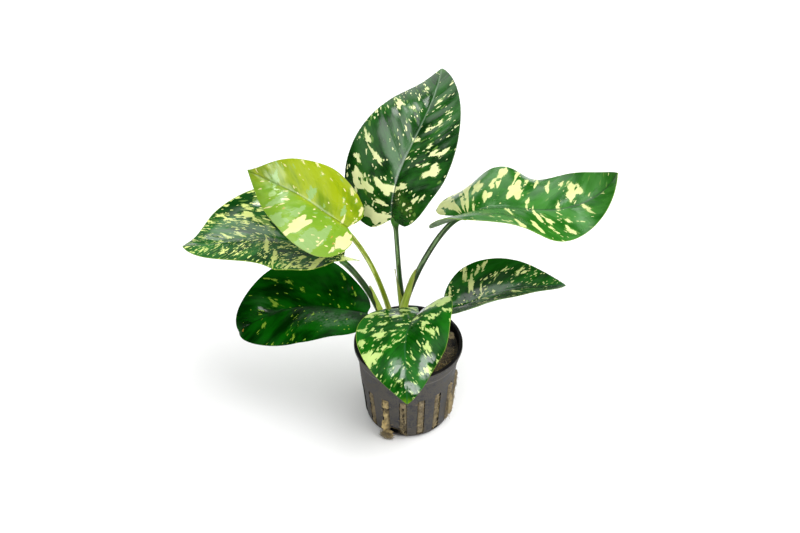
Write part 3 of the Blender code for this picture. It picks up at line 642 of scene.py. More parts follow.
class Wiring:
    """Short ways to add nodes to one node tree and join them."""

    def __init__(self, tree):
        self.tree = tree

    def add(self, kind, values=None, **settings):
        """A node with its settings, and its sockets set or joined."""
        made = self.tree.nodes.new(kind)
        for key, value in settings.items():
            setattr(made, key, value)
        for key, value in (values or {}).items():
            self.join(value, made.inputs[key])
        return made

    def join(self, value, socket):
        """Feed a socket from another one, or set it."""
        if isinstance(value, bpy.types.NodeSocket):
            self.tree.links.new(value, socket)
        elif socket.type == "RGBA":
            socket.default_value = (*value[:3], 1.0)
        else:
            socket.default_value = value

    def sum(self, operation, *values):
        """A Math node's result."""
        return self.add("ShaderNodeMath", dict(enumerate(values)),
                        operation=operation).outputs[0]

    def vector(self, operation, *values):
        """A Vector Math node's result."""
        return self.add("ShaderNodeVectorMath", dict(enumerate(values)),
                        operation=operation).outputs[0]

    def mix(self, share, a, b, blend_type="MIX"):
        """A colour between two others."""
        made = self.add("ShaderNodeMix", data_type="RGBA", blend_type=blend_type)
        for key, value in ((0, share), (6, a), (7, b)):
            self.join(value, made.inputs[key])
        return made.outputs[2]

    def step(self, value, low, high, start=0.0, end=1.0):
        """Rise smoothly from start to end as a value goes from low to high."""
        made = self.add("ShaderNodeMapRange", {0: value, 1: low, 2: high, 3: start, 4: end},
                        interpolation_type="SMOOTHSTEP")
        return made.outputs[0]

    def noise(self, place, scale, detail=2.0, roughness=0.5, output="Fac"):
        """Noise at a place."""
        made = self.add("ShaderNodeTexNoise", {"Vector": place, "Scale": scale,
                                               "Detail": detail, "Roughness": roughness})
        return made.outputs[output]

    def group(self, tree, **values):
        """A node group's outputs; underscores in the names stand for spaces."""
        made = self.add("ShaderNodeGroup", node_tree=tree)
        for key, value in values.items():
            self.join(value, made.inputs[key.replace("_", " ")])
        return made.outputs

    def attribute(self, name, output="Fac"):
        """A value stored at the mesh's points."""
        return self.add("ShaderNodeAttribute", attribute_name=name).outputs[output]

    def place(self):
        """The point on the piece, in mm."""
        spot = self.add("ShaderNodeTexCoord").outputs["Object"]
        return self.vector("MULTIPLY", spot, (1 / MM,) * 3)

    def bump(self, height, depth):
        """A normal from a height; depth is in mm."""
        return self.add("ShaderNodeBump", {"Height": height, "Distance": depth * MM}).outputs[0]


def new_group(name, inputs, outputs):
    """An empty node group with named sockets: its wiring, inputs and output sockets."""
    kinds = {"f": "NodeSocketFloat", "v": "NodeSocketVector", "c": "NodeSocketColor"}
    tree = bpy.data.node_groups.new(name, "ShaderNodeTree")
    for label, kind in inputs:
        tree.interface.new_socket(label, in_out="INPUT", socket_type=kinds[kind])
    for label, kind in outputs:
        tree.interface.new_socket(label, in_out="OUTPUT", socket_type=kinds[kind])
    entry = tree.nodes.new("NodeGroupInput")
    leave = tree.nodes.new("NodeGroupOutput")
    return Wiring(tree), entry.outputs, leave.inputs


# Each node group is built the first time it is asked for and reused after that

@cache
def vein_cells():
    """Random cells that are long along the side veins."""
    w, given, out = new_group("Vein Cells", [("Place", "v"), ("Width", "f"), ("Length", "f"),
                                             ("Shift", "f")],
                              [("Random", "f"), ("Second", "f"), ("Distance", "f"),
                               ("Centre", "v")])
    size = w.add("ShaderNodeCombineXYZ", {0: given["Width"], 1: given["Length"], 2: 1.0})
    scaled = w.vector("DIVIDE", given["Place"], size.outputs[0])
    moved = w.vector("ADD", scaled, w.add("ShaderNodeCombineXYZ", {
        0: given["Shift"], 1: given["Shift"]}).outputs[0])
    cells = w.add("ShaderNodeTexVoronoi", {"Vector": moved, "Scale": 1.0},
                  voronoi_dimensions="2D")
    parts = w.add("ShaderNodeSeparateColor", {0: cells.outputs["Color"]})
    w.join(parts.outputs[0], out["Random"])
    w.join(parts.outputs[1], out["Second"])
    w.join(cells.outputs["Distance"], out["Distance"])
    w.join(w.vector("MULTIPLY", cells.outputs["Position"], size.outputs[0]), out["Centre"])
    return w.tree


@cache
def variegation():
    """Cream and half-toned patches made up of whole leaf cells, with loose flecks between them.
    Bias is how many mm a point lies inside a patch."""
    w, given, out = new_group("Variegation", [("Place", "v"), ("Bias", "f"), ("Flecks", "f"),
                                              ("Dots", "f"), ("Ragged", "f")],
                              [("Cream", "f"), ("Half", "f"), ("Jag", "f")])
    shake = w.vector("SUBTRACT", w.noise(given["Place"], 0.8, 2.0, output="Color"), (0.5,) * 3)
    place = w.vector("ADD", given["Place"], w.vector("MULTIPLY", shake, (1.1, 1.6, 0.0)))
    fine = w.group(vein_cells(), Place=place, Width=0.42, Length=1.2, Shift=0.0)
    broad = w.group(vein_cells(), Place=place, Width=0.95, Length=2.4, Shift=53.0)
    jag = w.sum("SUBTRACT", fine["Random"], 0.5)
    edge = w.sum("ADD", w.sum("MULTIPLY", jag, 0.7),
                 w.sum("MULTIPLY", w.sum("SUBTRACT", broad["Random"], 0.62), 1.5))
    field = w.sum("MULTIPLY_ADD", edge, given["Ragged"], given["Bias"])
    isles = w.sum("LESS_THAN", broad["Second"], 0.95)
    cream = w.sum("MULTIPLY", w.step(field, -0.05, 0.1), isles)
    clump = w.step(w.noise(given["Place"], 0.11, 2.0), 0.36, 0.66, 0.25, 1.9)
    for width, length, shift, amount in ((0.85, 2.4, 11.3, "Flecks"), (0.5, 1.1, 37.1, "Dots")):
        cell = w.group(vein_cells(), Place=place, Width=width, Length=length, Shift=shift)
        share = w.sum("MULTIPLY_ADD", given[amount], clump, cell["Random"])
        size = w.sum("MULTIPLY_ADD", cell["Second"], 0.5, 0.3)
        near = w.sum("SUBTRACT", size, w.sum("MULTIPLY_ADD", jag, 0.25, cell["Distance"]))
        mark = w.sum("MULTIPLY", w.sum("GREATER_THAN", share, 1.0), w.step(near, 0.0, 0.05))
        cream = w.sum("MAXIMUM", cream, mark)
    w.join(cream, out["Cream"])
    halo = w.step(field, -0.75, -0.55)
    loose = w.group(vein_cells(), Place=place, Width=0.9, Length=2.8, Shift=71.7)
    share = w.sum("MULTIPLY_ADD", given["Flecks"], clump, loose["Random"])
    thin = w.sum("MULTIPLY", w.sum("GREATER_THAN", share, 1.0),
                 w.step(loose["Distance"], 0.50, 0.44))
    half = w.sum("MULTIPLY", halo, w.sum("GREATER_THAN", fine["Second"], 0.6))
    w.join(w.sum("MAXIMUM", half, thin), out["Half"])
    w.join(jag, out["Jag"])
    return w.tree


@cache
def leaf_grain():
    """Streaks along the side veins, fine cross veins and broad clouds."""
    w, given, out = new_group("Leaf Grain", [("Place", "v")],
                              [("Streak", "f"), ("Veins", "f"), ("Broad", "f"), ("Skin", "f")])
    place = given["Place"]
    w.join(w.noise(w.vector("DIVIDE", place, (0.9, 7.0, 1.0)), 1.0, 3.0, 0.6), out["Streak"])
    w.join(w.noise(w.vector("DIVIDE", place, (0.35, 9.0, 1.0)), 1.0, 2.0, 0.5), out["Veins"])
    w.join(w.noise(w.vector("DIVIDE", place, (9.0, 12.0, 1.0)), 1.0, 2.0, 0.5), out["Broad"])
    w.join(w.noise(w.vector("DIVIDE", place, (1.6, 3.5, 1.0)), 1.0, 3.0, 0.5), out["Skin"])
    return w.tree


@cache
def long_grain():
    """Fine lines along a stalk or a sheath."""
    w, given, out = new_group("Long Grain", [("Place", "v")], [("Lines", "f"), ("Cloud", "f")])
    place = given["Place"]
    w.join(w.noise(w.vector("DIVIDE", place, (9.0, 0.32, 1.0)), 1.0, 3.0, 0.6), out["Lines"])
    w.join(w.noise(w.vector("DIVIDE", place, (6.0, 2.5, 1.0)), 1.0, 2.0, 0.5), out["Cloud"])
    return w.tree


@cache
def specks():
    """Small irregular specks, such as dirt and scuffs."""
    w, given, out = new_group("Specks", [("Place", "v"), ("Size", "f"), ("Amount", "f")],
                              [("Mask", "f"), ("Cloud", "f")])
    scale = w.sum("DIVIDE", 1.0, given["Size"])
    cloud = w.noise(given["Place"], w.sum("MULTIPLY", scale, 0.12), 3.0, 0.6)
    fine = w.noise(given["Place"], scale, 3.0, 0.65)
    level = w.sum("SUBTRACT", 0.80, w.sum("MULTIPLY", given["Amount"],
                                          w.sum("MULTIPLY_ADD", cloud, 0.8, 0.1)))
    w.join(w.step(w.sum("SUBTRACT", fine, level), 0.0, 0.06), out["Mask"])
    w.join(cloud, out["Cloud"])
    return w.tree


@cache
def wool_mottle():
    """Matted fibres and damp patches of the rock wool."""
    w, given, out = new_group("Wool Mottle", [("Place", "v")],
                              [("Fibre", "f"), ("Damp", "f"), ("Crumb", "f")])
    place = given["Place"]
    turned = w.vector("ADD", place, w.vector("MULTIPLY", w.noise(place, 0.5, 2.0, output="Color"),
                                             (4.0, 4.0, 4.0)))
    w.join(w.noise(w.vector("DIVIDE", turned, (2.2, 2.2, 0.35)), 1.0, 3.0, 0.7), out["Fibre"])
    w.join(w.noise(place, 0.32, 4.0, 0.6), out["Damp"])
    w.join(w.noise(place, 1.1, 3.0, 0.6), out["Crumb"])
    return w.tree


def new_material(name, roughness=0.5):
    """A material with its Principled shader: the material, its wiring and the shader's sockets."""
    material = bpy.data.materials.new(name)
    material.use_nodes = True
    shader = material.node_tree.nodes["Principled BSDF"]
    shader.inputs["Roughness"].default_value = roughness
    return material, Wiring(material.node_tree), shader.inputs


def leaf_material(name, finish):
    """The upper side of a blade: green with cream flecks, fine veins, a waxy skin, a midrib line
    that is partly painted highlight and painted shade in the midrib's groove near the base.
    """
    material, w, shader = new_material(name, finish.roughness)
    shader["Specular IOR Level"].default_value = finish.gloss
    place = w.attribute("vein", "Vector")
    marks = w.group(variegation(), Place=place, Bias=w.attribute("cream"),
                    Flecks=finish.flecks, Dots=finish.dots, Ragged=finish.ragged)
    grain = w.group(leaf_grain(), Place=place)
    shade = w.sum("MULTIPLY_ADD", grain["Streak"], finish.streak,
                  w.sum("MULTIPLY", grain["Broad"], 1.0 - finish.streak))
    green = w.mix(w.step(shade, 0.36, 0.64), finish.deep, finish.green)
    if finish.flank:
        left = w.add("ShaderNodeSeparateXYZ", {0: place}).outputs[1]
        green = w.mix(w.step(left, -1.0, 6.0, 0.0, 0.7), green, finish.flank)
    pale = w.step(w.sum("ADD", w.attribute("pale"), w.sum("MULTIPLY", marks["Jag"], 1.4)),
                  -0.25, 0.25)
    green = w.mix(w.sum("MAXIMUM", w.sum("MULTIPLY", marks["Half"], 0.75), pale), green,
                  finish.half)
    spot = w.add("ShaderNodeSeparateXYZ", {0: place}).outputs
    green = w.mix(w.step(spot[2], 0.955, 1.0, 0.0, 0.8), green, finish.tip)
    # Along the midrib: on the outer part a line in the rib colour, partly painted highlight where
    # that colour is pale; on the base part a dark line of painted shade in the groove.
    rib = w.step(w.sum("ABSOLUTE", spot[1]), 0.7, 0.4)
    outer = w.step(spot[2], 0.35, 0.6)
    green = w.mix(w.sum("MULTIPLY", rib, w.sum("MULTIPLY", outer, 0.6)), green, finish.rib)
    green = w.mix(w.sum("MULTIPLY", rib, w.sum("MULTIPLY_ADD", outer, -0.6, 0.6)), green,
                  tuple(0.6 * value for value in finish.deep))
    cream = w.mix(w.step(grain["Streak"], 0.50, 0.9, 0.0, 0.35), finish.cream, finish.half)
    cream = w.mix(w.step(grain["Broad"], 0.48, 0.75, 0.0, 0.3), cream, finish.half)
    colour = w.mix(w.sum("MULTIPLY", marks["Cream"], w.sum("MULTIPLY_ADD", rib, -0.85, 1.0)),
                   green, cream)
    colour = w.mix(w.step(w.attribute("edge"), 0.984, 0.997, 0.0, 0.6), colour, finish.margin)
    scar = w.step(w.sum("ADD", w.attribute("scar"), w.sum("MULTIPLY", marks["Jag"], 0.6)),
                  -0.1, 0.2)
    colour = w.mix(w.sum("MULTIPLY", scar, 0.8), colour, tone(214, 156, 70))
    w.join(colour, shader["Base Color"])
    rough = w.sum("MULTIPLY_ADD", w.sum("SUBTRACT", grain["Broad"], 0.5), 0.25, finish.roughness)
    w.join(w.sum("MULTIPLY_ADD", marks["Cream"], 0.08, rough), shader["Roughness"])
    height = w.sum("ADD", w.sum("MULTIPLY", grain["Veins"], 0.45), grain["Skin"])
    height = w.sum("ADD", height, w.sum("MULTIPLY", marks["Cream"], -0.2))
    w.join(w.bump(height, 0.045), shader["Normal"])
    wet = w.attribute("wet")
    broken = w.sum("ADD", grain["Skin"], w.sum("MULTIPLY", marks["Jag"], 0.35))
    broken = w.step(w.sum("MULTIPLY_ADD", wet, 0.25, broken), 0.48, 0.60)
    w.join(w.sum("MULTIPLY", wet, broken), shader["Coat Weight"])
    shader["Coat Roughness"].default_value = 0.09
    return material


def underside_material(name, colour, share=1.0):
    """The duller, paler underside of a blade, with raised veins."""
    material, w, shader = new_material(name, 0.5)
    place = w.attribute("vein", "Vector")
    marks = w.group(variegation(), Place=place, Bias=w.attribute("cream"), Flecks=0.10, Dots=0.05,
                    Ragged=1.0)
    grain = w.group(leaf_grain(), Place=place)
    darker = tuple(0.55 * value for value in colour)
    base = w.mix(w.step(grain["Streak"], 0.3, 0.7), darker, colour)
    lighter = tuple(min(1.0, 2.4 * value + 0.12) for value in colour)
    base = w.mix(w.sum("MULTIPLY", marks["Cream"], 0.75 * share), base, lighter)
    w.join(base, shader["Base Color"])
    w.join(w.step(grain["Broad"], 0.2, 0.8, 0.42, 0.58), shader["Roughness"])
    height = w.sum("ADD", w.sum("MULTIPLY", grain["Veins"], 0.8), grain["Skin"])
    w.join(w.bump(height, 0.10), shader["Normal"])
    return material


def stalk_material(name, colour, foot, roughness=0.38):
    """A stalk or sheath: fine lengthwise lines, paler towards its foot, with painted highlight and
    shade stripes along it.
    """
    material, w, shader = new_material(name, roughness)
    place = w.attribute("along", "Vector")
    grain = w.group(long_grain(), Place=place)
    dark = tuple(0.45 * value for value in colour)
    base = w.mix(w.step(grain["Lines"], 0.3, 0.7), dark, colour)
    base = w.mix(w.step(grain["Cloud"], 0.45, 0.8, 0.0, 0.5), base, foot)
    spot = w.add("ShaderNodeSeparateXYZ", {0: place}).outputs
    base = w.mix(w.step(spot[0], 26.0, 0.0, 0.0, 0.85), base, foot)
    base = w.mix(w.step(spot[2], 0.90, 0.95, 0.0, 0.8), base, tone(58, 132, 16))
    # Pale and dark stripes along the stalk: painted highlight and painted shade.
    painted_light_band = w.noise(w.vector("DIVIDE", place, (60.0, 1.1, 1.0)), 1.0, 1.0)
    base = w.mix(w.step(painted_light_band, 0.56, 0.62, 0.0, 0.7), base,
                 tuple(min(1.0, 1.5 * value + 0.12) for value in foot))
    base = w.mix(w.step(painted_light_band, 0.42, 0.36, 0.0, 0.5), base, dark)
    dirt = w.group(specks(), Place=w.place(), Size=0.6, Amount=0.5)
    base = w.mix(w.sum("MULTIPLY", dirt["Mask"], 0.6), base, tone(60, 44, 20))
    w.join(base, shader["Base Color"])
    shader["Specular IOR Level"].default_value = 0.3
    w.join(w.step(grain["Cloud"], 0.2, 0.8, roughness - 0.08, roughness + 0.1),
           shader["Roughness"])
    w.join(w.bump(grain["Lines"], 0.10), shader["Normal"])
    return material


def sheath_material(settings):
    """The thin sheath: bright green, browned at its tip and along its edges."""
    material, w, shader = new_material("sheath_skin", 0.42)
    place = w.attribute("along", "Vector")
    grain = w.group(long_grain(), Place=place)
    colour = tuple(settings.sheath)
    base = w.mix(w.step(grain["Lines"], 0.3, 0.7), tuple(0.5 * v for v in colour), colour)
    pale = w.step(grain["Cloud"], 0.4, 0.8, 0.0, 0.6)
    base = w.mix(pale, base, tone(196, 214, 110))
    worn = w.sum("ADD", w.attribute("edge"), w.sum("MULTIPLY_ADD", grain["Cloud"], 0.3, -0.15))
    base = w.mix(w.step(worn, 0.86, 1.02, 0.0, 0.8), base, tone(176, 150, 84))
    w.join(base, shader["Base Color"])
    w.join(w.step(grain["Cloud"], 0.2, 0.8, 0.36, 0.52), shader["Roughness"])
    w.join(w.bump(grain["Lines"], 0.08), shader["Normal"])
    return material


def rhizome_material(settings):
    """The knobbly rhizome: green under a brown skin with leaf scars."""
    material, w, shader = new_material("rhizome_skin", 0.55)
    place = w.place()
    dirt = w.group(specks(), Place=place, Size=0.9, Amount=0.9)
    colour = tuple(settings.rhizome)
    base = w.mix(w.step(dirt["Cloud"], 0.3, 0.7), colour, tone(60, 48, 26))
    base = w.mix(w.attribute("scar"), base, tone(150, 128, 80))
    base = w.mix(w.sum("MULTIPLY", dirt["Mask"], 0.8), base, tone(40, 30, 16))
    w.join(base, shader["Base Color"])
    w.join(w.step(dirt["Cloud"], 0.2, 0.8, 0.42, 0.7), shader["Roughness"])
    w.join(w.bump(w.noise(place, 1.4, 4.0, 0.6), 0.25), shader["Normal"])
    return material


def pot_material(settings):
    """The pot's charcoal plastic: satin and specked with dirt, with a painted highlight line under
    the collar, a painted shade line where the wall starts and dark torn edges."""
    material, w, shader = new_material("net_pot_plastic", settings.roughness)
    place = w.place()
    dust = w.group(specks(), Place=place, Size=0.7, Amount=0.75)
    colour = tuple(settings.plastic)
    base = w.mix(w.step(dust["Cloud"], 0.3, 0.7), tuple(0.82 * v for v in colour), colour)
    height = w.add("ShaderNodeSeparateXYZ", {0: place}).outputs[2]
    # A pale line just under the collar: painted highlight.
    off = w.sum("ABSOLUTE", w.sum("SUBTRACT", height, COLLAR_FOOT[1] + 0.1))
    base = w.mix(w.step(off, 0.4, 0.1, 0.0, 0.35), base, tone(150, 150, 154))
    # A dark line where the wall starts below the collar's step: painted shade.
    off = w.sum("ABSOLUTE", w.sum("SUBTRACT", height, WALL_TOP[1] + 0.2))
    base = w.mix(w.step(off, 0.5, 0.1, 0.0, 0.45), base, tone(36, 36, 40))
    base = w.mix(w.sum("MULTIPLY", dust["Mask"], 0.35), base, tone(120, 112, 92))
    base = w.mix(w.attribute("torn"), base, tone(22, 22, 24))
    w.join(base, shader["Base Color"])
    shader["Specular IOR Level"].default_value = 0.18
    rough = w.step(dust["Cloud"], 0.2, 0.8, settings.roughness - 0.08, settings.roughness + 0.10)
    w.join(w.sum("MULTIPLY_ADD", dust["Mask"], 0.2, rough), shader["Roughness"])
    skin = w.sum("ADD", w.noise(place, 3.2, 3.0, 0.6),
                 w.sum("MULTIPLY", w.noise(w.vector("DIVIDE", place, (6.0, 6.0, 0.25)), 1.0), 0.6))
    w.join(w.bump(skin, 0.04), shader["Normal"])
    return material


def pot_shaded_plastic_material(settings):
    """A near-black copy of the pot's plastic for the lip, the inside of the pot and the slots'
    sides:
    painted shade, with specks of dirt.
    """
    material, w, shader = new_material("net_pot_shaded_plastic", 0.6)
    place = w.place()
    dust = w.group(specks(), Place=place, Size=0.5, Amount=0.5)
    base = w.mix(w.sum("MULTIPLY", dust["Mask"], 0.4), tuple(settings.lip), tone(70, 62, 48))
    w.join(base, shader["Base Color"])
    shader["Specular IOR Level"].default_value = 0.12
    w.join(w.step(dust["Cloud"], 0.2, 0.8, 0.5, 0.7), shader["Roughness"])
    w.join(w.bump(w.noise(place, 3.2, 3.0, 0.6), 0.03), shader["Normal"])
    return material


def wool_material(settings):
    """Matted rock wool: olive brown, damp in patches, with painted shade in its hollows."""
    material, w, shader = new_material("rock_wool_matting", 0.95)
    place = w.place()
    mottle = w.group(wool_mottle(), Place=place)
    light, dark = tuple(settings.light), tuple(settings.dark)
    base = w.mix(w.step(mottle["Damp"], 0.38, 0.66), light, dark)
    base = w.mix(w.step(mottle["Fibre"], 0.40, 0.75, 0.0, 0.75), base, tone(170, 156, 116))
    base = w.mix(w.step(mottle["Crumb"], 0.55, 0.72, 0.0, 0.6), base, tone(62, 52, 32))
    soil = w.mix(w.step(mottle["Fibre"], 0.35, 0.65), tone(40, 30, 8), tone(108, 90, 42))
    soil = w.mix(w.step(mottle["Crumb"], 0.50, 0.62, 0.0, 0.7), soil, tone(28, 19, 5))
    base = w.mix(w.attribute("top"), base, soil)
    base = w.mix(w.sum("MULTIPLY", w.attribute("dry"), w.step(mottle["Fibre"], 0.2, 0.5)), base,
                 tone(226, 198, 128))
    # Near black where the wool sinks into hollows: painted shade.
    base = w.mix(w.attribute("deep"), base, tone(9, 6, 3))
    w.join(base, shader["Base Color"])
    w.join(w.step(mottle["Damp"], 0.4, 0.7, 0.95, 0.80), shader["Roughness"])
    height = w.sum("ADD", mottle["Fibre"], w.sum("MULTIPLY", mottle["Crumb"], 0.8))
    w.join(w.bump(height, 0.5), shader["Normal"])
    return material


def fibre_material(settings):
    """Loose wool fibres, tan with darker ones among them."""
    material, w, shader = new_material("rock_wool_fibre", 0.8)
    mottle = w.group(wool_mottle(), Place=w.place())
    base = w.mix(w.step(mottle["Damp"], 0.4, 0.65), tone(184, 164, 116), tone(118, 100, 62))
    base = w.mix(w.step(mottle["Crumb"], 0.5, 0.7, 0.0, 0.6), base, tone(98, 84, 46))
    w.join(base, shader["Base Color"])
    w.join(w.step(mottle["Fibre"], 0.3, 0.7, 0.7, 0.9), shader["Roughness"])
    w.join(w.bump(mottle["Crumb"], 0.02), shader["Normal"])
    return material


def floor_material(settings):
    """A plain pale floor with a very slight tooth."""
    material, w, shader = new_material("studio_paper", 0.9)
    place = w.place()
    cloud = w.noise(place, 0.004, 2.0)
    base = tuple(settings.floor)
    w.join(w.mix(cloud, tuple(0.985 * v for v in base), base), shader["Base Color"])
    shader["Specular IOR Level"].default_value = 0.0
    w.join(w.bump(w.noise(place, 0.8, 3.0), 0.02), shader["Normal"])
    return material


# Pot

def pot_rows():
    """The wall from the rim to the middle of the base, as (outer radius, outer z, inner radius,
    inner z, slot half width, turn to the drain slots from 0 to 1, kind)."""
    rows = [(27.05, RIM_Z, 26.15, RIM_Z, SLOT_HALF, 0, "")]
    rows += [(27.38, 47.87, 25.84, 47.87, SLOT_HALF, 0, ""),
             (RIM_RADIUS, 47.55, LIP_INSIDE, 47.55, SLOT_HALF, 0, ""),
             (RIM_RADIUS, 46.6, LIP_INSIDE, 46.6, SLOT_HALF, 0, ""),
             (RIM_RADIUS, 46.0, LIP_INSIDE, 46.0, SLOT_HALF, 0, ""),
             (27.36, 45.72, 25.66, 45.6, SLOT_HALF, 0, ""),
             (26.78, 45.42, 25.56, 45.3, SLOT_HALF, 0, "")]

    def run(top, foot, heights, kind=""):
        for z in heights:
            share = (top[1] - z) / (top[1] - foot[1])
            radius = top[0] + share * (foot[0] - top[0])
            half = SLOT_HALF
            inside = min(z - SLOT_Z[0], SLOT_Z[1] - z)
            if kind == "slot":
                half -= 0.45 * max(0.0, 1.0 - inside / 0.45) ** 2
            rows.append((radius, z, radius - WALL, z, half, 0, kind))
    run(COLLAR_TOP, COLLAR_FOOT, np.linspace(45.2, 41.8, 5))
    rows.append((26.18, 41.5, 24.98, 41.55, SLOT_HALF, 0, ""))
    rows.append((26.04, 41.22, 24.7, 41.2, SLOT_HALF, 0, ""))
    rows.append((25.66, 40.78, 24.4, 40.8, SLOT_HALF, 0, ""))
    run(WALL_TOP, WALL_FOOT, np.linspace(40.4, 28.7, 12))
    run(WALL_TOP, WALL_FOOT, [SLOT_Z[1], 27.85, 27.65, 27.3, *np.linspace(26.7, 7.8, 31),
                              BREAK_Z[1], 6.7, 6.1, 5.4, 4.7, WALL_FOOT[1]], "slot")
    for outer, z_out, inner, z_in, cut in ((21.95, 3.6, 20.6, 3.6, 0),
                                           (21.82, BREAK_Z[0], 20.2, 3.2, 0),
                                           (21.65, 2.7, 19.7, 2.7, 0.08),
                                           (21.55, 2.4, 19.45, 2.4, 0.25),
                                           (21.48, SLOT_Z[0], 19.25, 2.2, 0.5)):
        rows.append((outer, z_out, inner, z_in, SLOT_HALF - cut, 0, "slot"))
    rows += [(21.15, 1.3, 18.8, 1.6, SLOT_HALF, 0, ""), (20.5, 0.45, 18.5, 1.3, SLOT_HALF, 0, ""),
             (BASE_RADIUS, 0.0, 18.3, WALL, SLOT_HALF, 0.05, ""),
             (17.9, 0.0, 17.2, WALL, DRAIN_HALF, 0.4, ""),
             (16.2, 0.0, 16.0, WALL, DRAIN_HALF, 0.8, "")]
    for radius in (15.0, 14.6, 13.5, 12.0, 10.5, 9.0, 7.5, 7.0):
        rows.append((radius, 0.0, radius, WALL, DRAIN_HALF, 1, "drain"))
    rows += [(radius, 0.0, radius, WALL, DRAIN_HALF, 1, "") for radius in (5.5, 3.5, 1.5)]
    return rows


def pot_angles(radius, half, turn):
    """The angle of each column of the pot's grid at one row."""
    angles = []
    for sector in range(SLOT_COUNT):
        step = 360.0 / SLOT_COUNT
        centre = FIRST_SLOT * (1 - turn) + sector * step
        wide = 4.5 * turn * (1 if sector % 2 == 0 else -1)
        reach = step / 2 + wide
        slot = math.degrees(math.asin(min(0.95, half / radius)))
        slot = min(slot, 0.9 * reach)
        angles += list(centre + np.linspace(-reach, -slot, LAND_STEPS, endpoint=False))
        angles += list(centre + np.linspace(-slot, slot, SLOT_STEPS, endpoint=False))
        angles += list(centre + np.linspace(slot, reach, LAND_STEPS, endpoint=False))
    return np.array(angles)


def pot_holes(rows):
    """Which faces of the pot's grid are open."""
    sector_width = 2 * LAND_STEPS + SLOT_STEPS
    columns = SLOT_COUNT * sector_width
    holes = np.zeros((len(rows) - 1, columns), bool)
    for index in range(len(rows) - 1):
        kinds = {rows[index][6], rows[index + 1][6]}
        for sector in range(SLOT_COUNT):
            first = sector * sector_width + LAND_STEPS
            if kinds == {"slot"} or (kinds == {"drain"} and sector % 2 == 0):
                holes[index, first:first + SLOT_STEPS] = True
        above, below = rows[index][1], rows[index + 1][1]
        if kinds == {"slot"} and above <= BREAK_Z[1] and below >= BREAK_Z[0]:
            holes[index, columns - LAND_STEPS:] = True
            holes[index, :LAND_STEPS] = True
    return holes


def slot_lean(angles, z):
    """How much higher the slots' tops lie on the right of the pot than in the middle."""
    near_top = smooth(17.0, 27.0, z) * smooth(39.0, 31.0, z)
    return SLOT_LEAN * np.sin(np.radians(angles)) * near_top


def pot_mesh():
    """Points and faces of the slotted pot, each face's side and where it is torn."""
    rows = pot_rows()
    outer, inner, torn = [], [], []
    for radius, z, inner_radius, inner_z, half, turn, kind in rows:
        for skin, r, height in ((outer, radius, z), (inner, inner_radius, inner_z)):
            angles = pot_angles(r, half, turn)
            near = (np.abs((angles - BREAK_MIDDLE + 180) % 360 - 180) < BREAK_HALF).astype(float)
            ragged = lumps(np.stack([angles * 0.9, 0 * angles, 0 * angles + 3], -1), 2.1)
            shift = near * 0.5 * ragged * (np.exp(-((height - BREAK_Z[0]) / 0.8) ** 2)
                                           + np.exp(-((height - BREAK_Z[1]) / 0.8) ** 2))
            turned = np.radians(angles)
            shift = shift + slot_lean(angles, height)
            skin.append(np.stack([r * np.sin(turned), -r * np.cos(turned), height + shift], -1))
            edge = max(np.exp(-((height - BREAK_Z[0]) / 0.5) ** 2),
                       np.exp(-((height - BREAK_Z[1]) / 0.5) ** 2))
            torn.append(near * edge)
    count = len(rows)
    columns = len(outer[0])
    points = np.vstack(outer + inner)
    holes = pot_holes(rows)
    faces, sides = [], []

    def outside(row, column):
        return row * columns + column % columns

    def within(row, column):
        return (count + row) * columns + column % columns
    for row in range(count - 1):
        for column in range(columns):
            if holes[row, column]:
                continue
            corners = [(row, column), (row, column + 1), (row + 1, column + 1), (row + 1, column)]
            faces.append(tuple(outside(*corner) for corner in corners))
            faces.append(tuple(within(*corner) for corner in corners[::-1]))
            # Side 1 takes the near-black copy of the plastic: painted shade inside, on the lip's top
            # rows and on the slots' sides.
            sides += [1 if row < LIP_ROWS else 0, 1]
            beside = ((row - 1, column), (row, (column + 1) % columns), (row + 1, column),
                      (row, column - 1))
            for side, (r, c) in enumerate(beside):
                if 0 <= r < count - 1 and holes[r, c]:
                    a, b = corners[side], corners[(side + 1) % 4]
                    faces.append((outside(*b), outside(*a), within(*a), within(*b)))
                    sides.append(1)
    for column in range(columns):
        faces.append((outside(0, column + 1), outside(0, column), within(0, column),
                      within(0, column + 1)))
        sides.append(1)
    faces.append(tuple(outside(count - 1, column) for column in range(columns)))
    faces.append(tuple(within(count - 1, column) for column in range(columns - 1, -1, -1)))
    sides += [0, 1]
    torn = np.concatenate([np.concatenate(torn[0::2]), np.concatenate(torn[1::2])])
    return points, faces, sides, torn


def make_pot(settings):
    """The turned pot with its slots, its drain slots and the broken gap low in its wall."""
    points, faces, sides, torn = pot_mesh()
    pot = mesh_object("net_pot", points, faces,
                      [pot_material(settings), pot_shaded_plastic_material(settings)], {"torn": torn},
                      sides)
    drop_loose(pot)
    tidy_mesh(pot, sharp=35.0)
    bevel = pot.modifiers.new("edge_round", "BEVEL")
    bevel.width = settings.bevel
    bevel.segments = 2
    bevel.limit_method = "ANGLE"
    bevel.angle_limit = math.radians(40)
    bevel.harden_normals = True
    return keep_piece(pot, "pot", "pot")


def drop_loose(obj):
    """Remove points that no face uses."""
    shape = bmesh.new()
    shape.from_mesh(obj.data)
    loose = [vertex for vertex in shape.verts if not vertex.link_faces]
    bmesh.ops.delete(shape, geom=loose, context="VERTS")
    shape.to_mesh(obj.data)
    shape.free()


# Rock wool

def wall_line(z):
    """The outer radius of the pot's wall at a height."""
    points = [(0.0, BASE_RADIUS), (FOOT_ROUND[1], FOOT_ROUND[0]), (WALL_FOOT[1], WALL_FOOT[0]),
              (WALL_TOP[1], WALL_TOP[0]), (COLLAR_FOOT[1], COLLAR_FOOT[0]),
              (COLLAR_TOP[1], COLLAR_TOP[0])]
    heights, radii = zip(*points)
    return np.interp(z, heights, radii)


